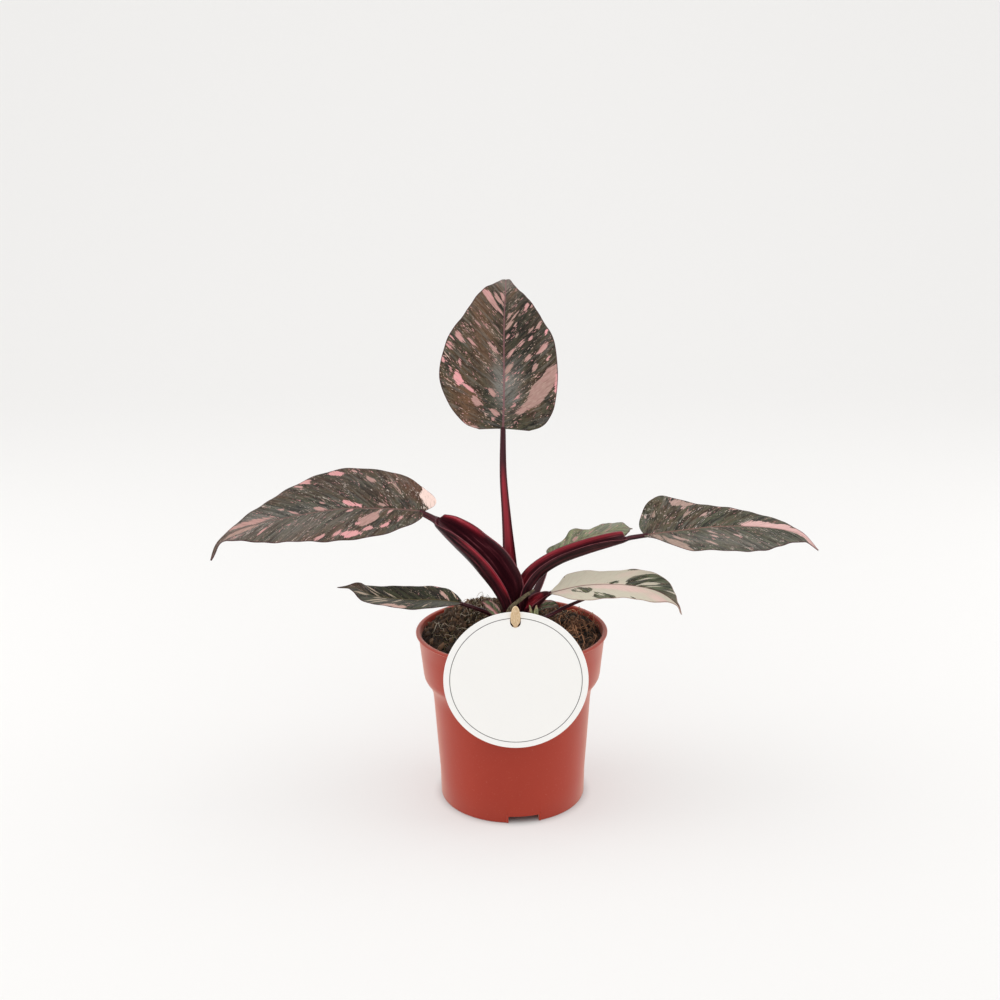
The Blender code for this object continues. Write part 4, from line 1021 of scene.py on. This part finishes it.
def blade_middle(leaf):
    """The middle surface of a blade on an even grid. It comes with each point's place along the
    midrib, beside it and in from the edge, and with the blade's length."""
    rows, columns = leaf["grid"]
    fine = smooth_points(leaf["midrib"], np.arange(401) / 400)
    reach = np.concatenate(([0], np.cumsum(np.linalg.norm(np.diff(fine, axis=0), axis=1))))
    length = reach[-1]

    def at(shares):
        wanted = np.clip(shares, 0, 1) * length
        return np.stack([np.interp(wanted, reach, fine[:, k]) for k in range(3)], -1)

    along = np.arange(rows + 1) / rows
    middle = at(along)
    forward = unit(at(along + 0.01) - at(along - 0.01))
    facing = np.asarray(leaf["facing"], float)
    up = facing[0] * (1 - along[:, None]) + facing[1] * along[:, None]
    up = unit(up - (up * forward).sum(1)[:, None] * forward)
    left = np.cross(up, forward)
    across = np.linspace(-1, 1, columns + 1)
    s, a = np.meshgrid(along, across, indexing="ij")
    out, turn = np.abs(a), np.where(a >= 0, 1.0, -1.0)
    widths = [smooth_values(SPOTS, leaf[key], along) for key in ("left", "right")]
    width = np.where(a >= 0, widths[0][:, None], widths[1][:, None])
    fold = np.radians(leaf["fold"][0] * (1 - s) ** 2 + leaf["fold"][1] * (1 - (1 - s) ** 2))
    count, height, phase = leaf["waves"]
    wave = np.sin(math.tau * count * s + np.where(a >= 0, phase, phase + 1.7))
    wave *= height * np.minimum(1, width / 12) * out**2
    frill = np.sin(math.tau * 3.7 * count * s + 2.1 * turn) * np.minimum(1, width / 20) * out**5
    wave += 0.0025 * length * frill
    ahead = width * smooth_values(SPOTS, VEIN_REACH, along)[:, None] * out**1.4
    lobe = np.where(a >= 0, *leaf["lobes"]) * np.maximum(0, 1 - s / LOBE_SHARE) ** 2
    ahead -= lobe * np.sin(np.pi * out**0.8)
    droop = leaf["droop"][0] * (1 - s) + leaf["droop"][1] * s
    lift = width * out * np.sin(fold) - droop * width * out**2 + wave
    aside = turn * width * out
    points = (middle[:, None] + forward[:, None] * ahead[..., None]
              + left[:, None] * (aside * np.cos(fold))[..., None] + up[:, None] * lift[..., None])
    edge = np.minimum(width * (1 - out), s * length + 3 * (1 - out) ** 2)
    edge = np.minimum(edge, (1 - s) * length)
    return points, s * length + ahead, aside, edge, length


def vein_of(reach, aside, length):
    """The place on the midrib that the side vein through each point comes from."""
    low, high = np.full(reach.shape, -0.6 * length), np.full(reach.shape, 1.1 * length)
    for _ in range(30):
        guess = (low + high) / 2
        slope = np.interp(guess / length, VEIN_PLACES, VEIN_SLOPES)
        found = guess + slope * np.abs(aside) + VEIN_CURVE * aside**2
        low = np.where(found < reach, guess, low)
        high = np.where(found < reach, high, guess)
    return (low + high) / 2


def splash_field(vein, aside, splashes, pale):
    """How deep in a splash each point lies, in millimetres, and how bright that splash is."""
    field = np.full(vein.shape, 6.0 if pale else -6.0)
    weight = np.full(vein.shape, 1.0 if pale else 1e-6)
    tone = 0.1 * weight
    for k, (place, start, end, width, bright) in enumerate(splashes):
        centre, half = (start + end) / 2, abs(end - start) / 2
        side = (aside - centre) / half
        over = (vein - place) / (width / 2) / (1 + SPLASH_TAPER * (-1) ** k * np.clip(side, -1, 1))
        away = (np.abs(side) ** SPLASH_POWER + np.abs(over) ** SPLASH_POWER) ** (1 / SPLASH_POWER)
        depth = (1 - away) * min(half, width / 2)
        depth = np.where(aside * centre < 0, np.minimum(depth, -np.abs(aside)), depth)
        if bright < 0:
            field = np.minimum(field, -depth)
            continue
        pull = np.exp(np.clip(depth, -9, 9) / (0.8 if pale else 0.3))
        weight += pull
        tone += pull * bright
        field = np.maximum(field, depth)
    return field, tone / weight


def tint_field(vein, aside, tints):
    """How much brown, painted silvery sheen and darkness the tints add up to at each point."""
    total = np.zeros(vein.shape + (3,))
    for place, beside, reach, spread, *amounts in tints:
        share = np.exp(-(((vein - place) / reach) ** 2) - ((aside - beside) / spread) ** 2)
        total += share[..., None] * np.asarray(amounts)
    return total


def blade_mesh(name, leaf, splashes, tints, pale, finish):
    """A closed blade from its grid: two skins that meet at the margin, thin there and ribbed."""
    middle, reach, aside, edge, length = blade_middle(leaf)
    vein = vein_of(reach, aside, length)
    rows, columns = leaf["grid"]
    along = np.linspace(0, 1, rows + 1)[:, None]
    normal = unit(np.cross(np.gradient(middle, axis=1), np.gradient(middle, axis=0))) * -1
    thick = MARGIN_THICKNESS + (BLADE_THICKNESS - MARGIN_THICKNESS) * np.clip(edge / 3, 0, 1)
    thick = thick * np.clip(0.35 + edge / 0.6, 0, 1)
    rib = MIDRIB_DEPTH * (1 - 0.85 * along)
    spread = 1.5 - 0.9 * along
    ridge = rib * np.exp(-(aside / spread) ** 2)
    crease = 0.35 * (1 - 0.6 * along) * np.exp(-(aside / (0.8 * spread)) ** 2)
    beat = vein / VEIN_SPACING - np.round(vein / VEIN_SPACING)
    calm = np.clip(edge / 4, 0, 1) * np.clip(np.abs(aside) / 3, 0, 1)
    furrow = (0.16 * np.exp(-(beat * VEIN_SPACING / 0.5) ** 2) - 0.14 * np.cos(math.tau * beat)) * calm
    top = middle + normal * (thick / 2 - crease - furrow)[..., None]
    bottom = middle - normal * (thick / 2 + ridge - 0.6 * crease + 0.6 * furrow)[..., None]
    count = columns + 1
    total = (rows + 1) * count
    faces = []
    for row in range(rows):
        for c in range(columns):
            a, b = row * count + c, row * count + c + 1
            faces.append((a, b, b + count, a + count))
            faces.append((total + a, total + a + count, total + b + count, total + b))
    rim = [r * count for r in range(rows + 1)] + [rows * count + c for c in range(1, count)]
    rim += [r * count + columns for r in range(rows - 1, -1, -1)] + list(range(columns - 1, 0, -1))
    for a, b in zip(rim, rim[1:] + rim[:1]):
        faces.append((a, total + a, total + b, b))
    made = solid(name, np.concatenate((top.reshape(-1, 3), bottom.reshape(-1, 3))), faces)
    field, tone = splash_field(vein, aside, splashes, pale)
    paint = np.stack((field, tone, np.broadcast_to(along, vein.shape)), -1)
    marks = {"leaf": np.stack((vein, aside, edge), -1), "paint": paint,
             "tint": tint_field(vein, aside, tints)}
    for key, values in marks.items():
        attribute(made, key, "FLOAT_VECTOR", np.tile(values.reshape(-1, 3), (2, 1)))
    attribute(made, "under", "FLOAT", np.repeat((0.0, 1.0), total))
    made.data.materials.append(finish)
    smooth(made, 60)
    return made


def leaf_skin(name, look, seed):
    """The finish of one leaf, read from its vein coordinates, its splashes and its tints."""
    made, tree, shader = new_material(name)
    vein, aside, edge = read_marks(tree, "leaf")
    depth, bright, along = read_marks(tree, "paint")
    more_brown, more_painted_sheen, more_dark = read_marks(tree, "tint")
    under = node(tree, "Attribute", attribute_name="under").outputs["Fac"]

    def scaled(value, amount):
        return number(tree, "MULTIPLY", value, amount)

    def added(value, more, clamp=False):
        return number(tree, "ADD", value, more, clamp)

    def streaks(across, lengthwise, shift, detail=3.0):
        """Noise that is drawn out along the side veins."""
        place = {0: scaled(vein, across), 1: scaled(aside, lengthwise), 2: seed + shift}
        return cloud(tree, node(tree, "CombineXYZ", place).outputs[0], 1.0, detail, 0.6)

    def swing(value, amount):
        return scaled(number(tree, "SUBTRACT", value, 0.5), amount)

    # The green ground, its brown and dark tints, its painted silvery sheen, and the fine threads and
    # gaps in it.
    wide = streaks(0.10, 0.07, 1.0, 2.0)
    broad = streaks(0.35, 0.10, 2.0, 4.0)
    fine = streaks(1.5, 0.35, 3.0, 4.0)
    shaded, lit = (tuple(share * part for part in look["ground"]) for share in (look["shade"], 1.15))
    ground = blend(tree, fade(tree, broad, 0.4, 0.58), shaded, lit)
    warm = added(added(scaled(wide, 1.6), look["warm"] - 0.95), more_brown, True)
    warm = scaled(warm, fade(tree, broad, 0.2, 0.6, 0.45, 1.0))
    ground = blend(tree, warm, ground, look["brown"])
    # The silvery sheen is a painted reflection: streaked all over, and stronger where the tints add it.
    painted_silver_sheen = scaled(fade(tree, streaks(0.6, 0.06, 9.0, 2.0), 0.45, 0.7), look["sheen"])
    more_painted_sheen = scaled(more_painted_sheen, fade(tree, broad, 0.25, 0.6, 0.35, 1.0))
    ground = blend(tree, added(painted_silver_sheen, more_painted_sheen, True), ground, look["painted_silver_sheen"])
    dark = scaled(more_dark, fade(tree, broad, 0.3, 0.7, 1.0, 0.5))
    ground = blend(tree, dark, ground, look["dark"])
    ground = blend(tree, fade(tree, fine, 0.5, 0.72, 0, 0.45), ground, look["thread"])
    gaps = fade(tree, streaks(1.9, 0.5, 11.0, 2.0), 0.34, 0.46, 1 - look["shade"], 0)
    ground = blend(tree, gaps, ground, look["gap"])

    # Specks in two sizes that crowd together here and there.
    level = 0.705 - 0.1 * look["flecks"]
    crowd = swing(streaks(0.16, 0.1, 12.0, 2.0), 0.4)
    small = fade(tree, added(streaks(1.9, 0.5, 4.0, 1.5), crowd), level, level + 0.035)
    large = fade(tree, added(streaks(0.95, 0.24, 5.0, 1.5), crowd), level + 0.04, level + 0.07)
    specks = scaled(number(tree, "MAXIMUM", small, large), 0.9)
    fleck = fade(tree, streaks(0.2, 0.1, 7.0), 0.42, 0.58)
    colour = blend(tree, specks, ground, blend(tree, fleck, look["fleck"], look["fleck_pink"]))

    # Splashes with ragged ends, dull to vivid, with pale veining and darker stripes.
    ragged = swing(streaks(1.6, 0.13, 6.0, 3.0), 4.0)
    ragged = added(ragged, swing(streaks(0.4, 0.1, 13.0, 1.0), 1.8))
    pink = blend(tree, bright, look["dull"], look["vivid"])
    pink = blend(tree, fade(tree, bright, 1.0, 2.0), pink, look["cream"])
    pink = blend(tree, fade(tree, fine, 0.4, 0.7, 0, 0.35), pink, look["veining"])
    stripes = fade(tree, streaks(1.2, 0.1, 8.0), 0.52, 0.68, 0, look["stripe"])
    pink = blend(tree, stripes, pink, look["stripes"])
    colour = blend(tree, fade(tree, added(depth, ragged), -0.3, 0.0), colour, pink)

    # The midrib, the thin rim and the duller underside.
    width = number(tree, "SUBTRACT", 1.0, scaled(along, 0.7))
    off = number(tree, "DIVIDE", number(tree, "ABSOLUTE", aside), width)
    line = fade(tree, number(tree, "SUBTRACT", 1.0, off), 0.0, 0.7, 0, 0.7)
    colour = blend(tree, line, colour, look["rib"])
    colour = blend(tree, fade(tree, edge, 0.25, 0.75, 0.8, 0), colour, look["rim"])
    colour = blend(tree, under, colour, blend(tree, 0.55, colour, look["back"]))
    height = added(scaled(fine, 0.5), scaled(broad, 0.5))
    fill(tree, shader, {"Base Color": colour, "Roughness": fade(tree, broad, 0.3, 0.7, 0.38, 0.5),
                        "Specular IOR Level": 0.16, "Normal": relief(tree, height, 0.3, 0.3)})
    return made


for k, (name, leaf) in enumerate(BLADES.items()):
    look = {**LEAF_LOOK, **LOOKS[name]}
    finish = leaf_skin(name + "_finish", look, 10.0 * k)
    blade = blade_mesh(name + "_skin", leaf, SPLASHES[name], TINTS[name], look["pale"], finish)
    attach(blade, "root")
    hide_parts(name)

# Small young leaves: two narrow leaves that stand on thin stalks of their own beside the stem,
# each grown whole, the left one with a pink stripe and the right one with a white edge.
SMALL_LEAVES = {
    "leaf_small_left": dict(
        midrib=((-7, -14, 122.7), (-10, -14.5, 126.2), (-14, -15, 130.2), (-18, -15.5, 133.2)),
        facing=((0.6, -0.9, 0.8), (0.3, -0.9, 0.9)),
        left=(1, 1.4, 1.8, 2.6, 3.6, 4.2, 4.2, 3.4, 2, 1, 0.6, 0.4),
        right=(1, 1.4, 1.8, 2.6, 3.6, 4.2, 4.2, 3.4, 2, 1, 0.6, 0.4),
        lobes=(0, 0), fold=(16, 10), droop=(0.0, 0.0), waves=(1.5, 0.3, 0.9), grid=(60, 32),
        stalk=((-9, -14.5, 102), (-8.8, -14.5, 115), (-6.9, -14, 123.3)),
    ),
    "leaf_small_right": dict(
        midrib=((14.5, 5, 119.5), (19, 4, 122.5), (24, 2.5, 124), (29.5, 0.5, 124.2)),
        facing=((0, -0.5, 1), (0, -0.4, 1)),
        left=(1, 1.4, 1.8, 2.8, 3.8, 4.4, 4.4, 3.6, 2.2, 1, 0.6, 0.4),
        right=(1, 1.3, 1.6, 2.4, 3.2, 3.8, 3.8, 3.2, 2, 1, 0.6, 0.4),
        lobes=(0, 0), fold=(8, 6), droop=(0.0, 0.0), waves=(1.5, 0.3, 0.9), grid=(60, 32),
        stalk=((12.5, 5.5, 100), (12.8, 5.4, 112), (15, 4.9, 120.1)),
    ),
}
SMALL_STALK_RADII = (1.0, 0.9, 0.55)
SMALL_STALK_SIDES = 16
SMALL_SPLASHES = {
    "leaf_small_left": ((7, -1.2, 1.8, 12, 0.6), (3, -3.6, -2.2, 10, 0.35)),
    "leaf_small_right": ((6, 2.6, 4.4, 14, 0.2), (11, -3.8, -2.6, 8, 0.2)),
}
SMALL_LOOK = dict(
    warm=0.1, sheen=0.4, flecks=0.45, ground=(92, 102, 70), rib=(140, 92, 88), shade=0.7,
)


def small_leaf_mesh(name, leaf, finish):
    """A small blade with its own stalk joined in."""
    blade = blade_mesh(name + "_skin", leaf, SMALL_SPLASHES[name], (), 0, finish)
    stalk, rings = round_points(leaf["stalk"], SMALL_STALK_RADII, SMALL_STALK_SIDES, 12)
    mesh = bpy.data.meshes.new(name + "_stalk")
    mesh.from_pydata((stalk * MM).tolist(), [], tube_faces(rings, SMALL_STALK_SIDES))
    shape = bmesh.new()
    shape.from_mesh(blade.data)
    shape.from_mesh(mesh)
    shape.to_mesh(blade.data)
    shape.free()
    # The stalk has the plain green of the blade: no splash, and far from midrib and margin.
    for key, value in (("paint", (-6.0, 0.0, 1.0)), ("leaf", (0.0, 9.0, 9.0))):
        for spot in blade.data.attributes[key].data[-len(stalk):]:
            spot.vector = value
    smooth(blade, 60)
    return blade


for k, (name, leaf) in enumerate(SMALL_LEAVES.items()):
    finish = leaf_skin(name + "_finish", {**LEAF_LOOK, **SMALL_LOOK}, 90.0 + 10 * k)
    small_leaf = small_leaf_mesh(name, leaf, finish)
    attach(small_leaf, "root")
    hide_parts(name)

# Young shoot: a soft yellow-green shoot in front of the stem that forks into two pointed scales.
SHOOT_PATH = ((13.8, -15, 102), (14.2, -15.5, 118), (14.8, -15.3, 125), (15.2, -15, 130))
SHOOT_RADII = (1.2, 1.3, 1.6, 0.4)
FORK_PATH = ((12.9, -15.4, 121), (11.9, -15.6, 126), (10.9, -15.6, 130.5))
FORK_RADII = (1.0, 1.0, 0.3)
SHOOT_SIDES = 20
FORK_SIDES = 16
SHOOT_DARK = (96, 102, 62)
SHOOT_LIGHT = (164, 168, 122)
SHOOT_BLUSH = (196, 134, 118)


def shoot_skin():
    made, tree, shader = new_material("yellow_green_shoot_skin")
    here = node(tree, "TexCoord").outputs["Object"]
    long_way = node(tree, "Mapping", {"Vector": here, "Scale": (2200, 2200, 160)}).outputs[0]
    streaks = cloud(tree, long_way, 1.0, 3)
    colour = blend(tree, fade(tree, streaks, 0.35, 0.65), SHOOT_DARK, SHOOT_LIGHT)
    blush = fade(tree, cloud(tree, here, 320, 2), 0.5, 0.68, 0, 0.8)
    fill(tree, shader, {"Base Color": blend(tree, blush, colour, SHOOT_BLUSH), "Roughness": 0.45,
                        "Normal": relief(tree, streaks, 0.4, 0.2)})
    return made


def make_shoot():
    main, main_rings = round_points(SHOOT_PATH, SHOOT_RADII, SHOOT_SIDES, 14)
    fork, fork_rings = round_points(FORK_PATH, FORK_RADII, FORK_SIDES, 14)
    faces = tube_faces(main_rings, SHOOT_SIDES) + tube_faces(fork_rings, FORK_SIDES, len(main))
    shoot = solid("young_shoot_skin", np.concatenate((main, fork)), faces)
    shoot.data.materials.append(shoot_skin())
    smooth(shoot, 50)
    return shoot


shoot = make_shoot()
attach(shoot, "root")
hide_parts("young_shoot")

# Dry sheath: the papery brown husk of an old shoot, curled up over the stalks it once wrapped.
SHEATH = dict(
    path=((-4, -9.5, 102), (-4, -11.5, 116), (-1.6, -12.5, 126), (4, -13, 131.8), (9.6, -12, 136),
          (14, -10.5, 138.6)),
    opens=(-0.4, 0.2, -0.9),
    half=(1.2, 1.3, 1.5, 1.5, 1.2, 0.6), open=(0, 0.5, 0.8, 0.8, 0.7, 0.3),
)
HUSK_DARK = (60, 52, 35)
HUSK_LIGHT = (114, 100, 73)
HUSK_INSIDE = (58, 50, 34)


def husk():
    made, tree, shader = new_material("dry_brown_husk")
    inside = read_marks(tree, "marks")[1]
    grain = cloud(tree, node(tree, "TexCoord").outputs["Object"], 700, 4, 0.65)
    colour = blend(tree, fade(tree, grain, 0.35, 0.65), HUSK_DARK, HUSK_LIGHT)
    colour = blend(tree, number(tree, "MULTIPLY", inside, 0.5), colour, HUSK_INSIDE)
    fill(tree, shader, {"Base Color": colour, "Roughness": 0.75,
                        "Normal": relief(tree, grain, 0.6, 0.4)})
    return made


def make_sheath():
    points, marks, rings, sides = stalk_points(SHEATH)
    sheath = solid("dry_sheath_skin", points, tube_faces(rings, sides))
    attribute(sheath, "marks", "FLOAT_VECTOR", marks)
    sheath.data.materials.append(husk())
    smooth(sheath, 50)
    return sheath


sheath = make_sheath()
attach(sheath, "root")
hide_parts("dry_sheath")

# Card: a round disc punched from matt white board, with one slot near its top edge and a thin
# dark ring printed round it. It hangs on the stick.
CARD_RADIUS = 42.2
CARD_THICKNESS = 0.8
CARD_CENTRE = (1.8, -60.75, 99.8)
CARD_BEVEL = 0.12
SLOT_CENTRE = (1.7, -60.75, 135.9)
SLOT_SIZE = (6.1, 6.9)
SLOT_CORNERS = (1.0, 3.0)
RING_RADIUS = 38.5
RING_WIDTH = 0.32
CARD_SIDES = 192
BOARD_DARK = (244, 243, 240)
BOARD_LIGHT = (250, 249, 247)
RING_GREY = (84, 82, 82)


def rounded_outline(width, height, radii, steps):
    """A rectangle with round corners above and below, about its own middle."""
    points = []
    for sx, sy, start in ((1, 1, 0), (-1, 1, 90), (-1, -1, 180), (1, -1, 270)):
        radius = radii[0] if sy > 0 else radii[1]
        for k in range(steps + 1):
            a = math.radians(start + 90 * k / steps)
            points.append((sx * (width / 2 - radius) + radius * math.cos(a),
                           sy * (height / 2 - radius) + radius * math.sin(a)))
    return points


def plate(name, outlines, place):
    """A plate built up through its outlines from back to front, each at its own depth."""
    count = len(outlines[0][0])
    points = [place(x, y, depth) for outline, depth in outlines for x, y in outline]
    return solid(name, points, tube_faces(len(outlines), count))


def white_board():
    made, tree, shader = new_material("matt_white_board")
    here = node(tree, "TexCoord").outputs["Object"]
    centre = tuple(part * MM for part in CARD_CENTRE)
    from_middle = node(tree, "VectorMath", {0: here, 1: centre}, operation="SUBTRACT")
    flat = node(tree, "VectorMath", {0: from_middle.outputs[0], 1: (1, 0, 1)}, operation="MULTIPLY")
    far = node(tree, "VectorMath", {0: flat.outputs[0]}, operation="LENGTH").outputs["Value"]
    off = number(tree, "ABSOLUTE", number(tree, "SUBTRACT", far, RING_RADIUS * MM))
    ring = fade(tree, off, RING_WIDTH / 2 * MM, (RING_WIDTH / 2 + 0.12) * MM, 1, 0)
    fibres = cloud(tree, here, 2500, 3, 0.7)
    board = blend(tree, fibres, BOARD_DARK, BOARD_LIGHT)
    fill(tree, shader, {"Base Color": blend(tree, ring, board, RING_GREY), "Roughness": 0.62,
                        "Normal": relief(tree, fibres, 0.12, 0.1)})
    return made


def make_card():
    """The disc with its softened edges, and the slot punched through it."""
    turns = np.arange(CARD_SIDES) * math.tau / CARD_SIDES
    outlines = []
    for inset, depth in ((CARD_BEVEL, -1), (0, -0.7), (0, 0.7), (CARD_BEVEL, 1)):
        radius = CARD_RADIUS - inset
        circle = [(radius * math.cos(turn), radius * math.sin(turn)) for turn in turns]
        outlines.append((circle, depth * CARD_THICKNESS / 2))
    card = plate("card", outlines, lambda x, y, depth: Vector(CARD_CENTRE) + Vector((x, depth, y)))
    slot = rounded_outline(*SLOT_SIZE, SLOT_CORNERS, 10)
    cutter = plate("slot", ((slot, -3), (slot, 3)),
                   lambda x, y, depth: Vector(SLOT_CENTRE) + Vector((x, depth, y)))
    combine(card, [cutter], "DIFFERENCE")
    card.data.materials.clear()
    card.data.materials.append(white_board())
    smooth(card, 30)
    return card


card = make_card()
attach(card, "root")
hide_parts("label_card")

# Stick: a flat pick of pale bare wood, broad at its head and narrow below, pushed into the soil.
# It leans forward through the card's slot and carries it.
STICK_HALF_WIDTHS = (
    (0, 0.5), (0.4, 1.0), (1.0, 1.45), (2.2, 1.95), (4.5, 2.45), (7, 2.8), (9.5, 2.85), (11.3, 2.6),
    (12.4, 2.15), (13.4, 1.6), (14.4, 1.2), (57.2, 1.1), (58.5, 0.4),
)
STICK_THICKNESS = 1.4
STICK_LEAN = 21.0
STICK_ABOVE_SLOT = 11.5
WOOD_LIGHT = (226, 200, 164)
WOOD_GRAIN = (202, 168, 124)
WOOD_PORES = (168, 128, 86)


def pale_wood():
    made, tree, shader = new_material("pale_bare_wood")
    here = node(tree, "TexCoord").outputs["Object"]
    lean = (math.radians(-STICK_LEAN), 0, 0)

    def drawn_out(scale):
        """The place, turned to the stick and drawn out along it."""
        return node(tree, "Mapping", {"Vector": here, "Rotation": lean, "Scale": scale}).outputs[0]

    grain = cloud(tree, drawn_out((2600, 1500, 130)), 1.0, 4, 0.6)
    pores = cloud(tree, drawn_out((6000, 3000, 500)), 1.0, 2)
    wood = blend(tree, fade(tree, grain, 0.35, 0.68), WOOD_LIGHT, WOOD_GRAIN)
    wood = blend(tree, fade(tree, pores, 0.62, 0.72, 0, 0.5), wood, WOOD_PORES)
    fill(tree, shader, {"Base Color": wood, "Roughness": 0.65,
                        "Normal": relief(tree, grain, 0.35, 0.2)})
    return made


def make_stick():
    """The flat pick in layers, each a little smaller towards its two faces."""
    lean = math.radians(STICK_LEAN)
    along = Vector((0, -math.sin(lean), math.cos(lean)))
    front = Vector((0, -math.cos(lean), -math.sin(lean)))
    downs, halves = zip(*STICK_HALF_WIDTHS)
    fine = np.concatenate((np.linspace(0, 15, 60), np.linspace(16, downs[-1], 12)))
    wide = smooth_values(downs, halves, fine)
    layers = []
    for inset, depth in ((0.25, -1), (0.08, -0.85), (0, -0.6), (0, 0.6), (0.08, 0.85), (0.25, 1)):
        edge = [(half - inset, STICK_ABOVE_SLOT - down) for half, down in zip(wide, fine)]
        layers.append(([(-x, y) for x, y in edge] + edge[::-1], depth * STICK_THICKNESS / 2))
    middle = Vector(SLOT_CENTRE)
    stick = plate("stick", layers,
                  lambda x, y, depth: middle + Vector((x, 0, 0)) + along * y + front * depth)
    stick.data.materials.append(pale_wood())
    smooth(stick, 30)
    return stick


stick = make_stick()
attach(stick, "root")
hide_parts("label_stick")
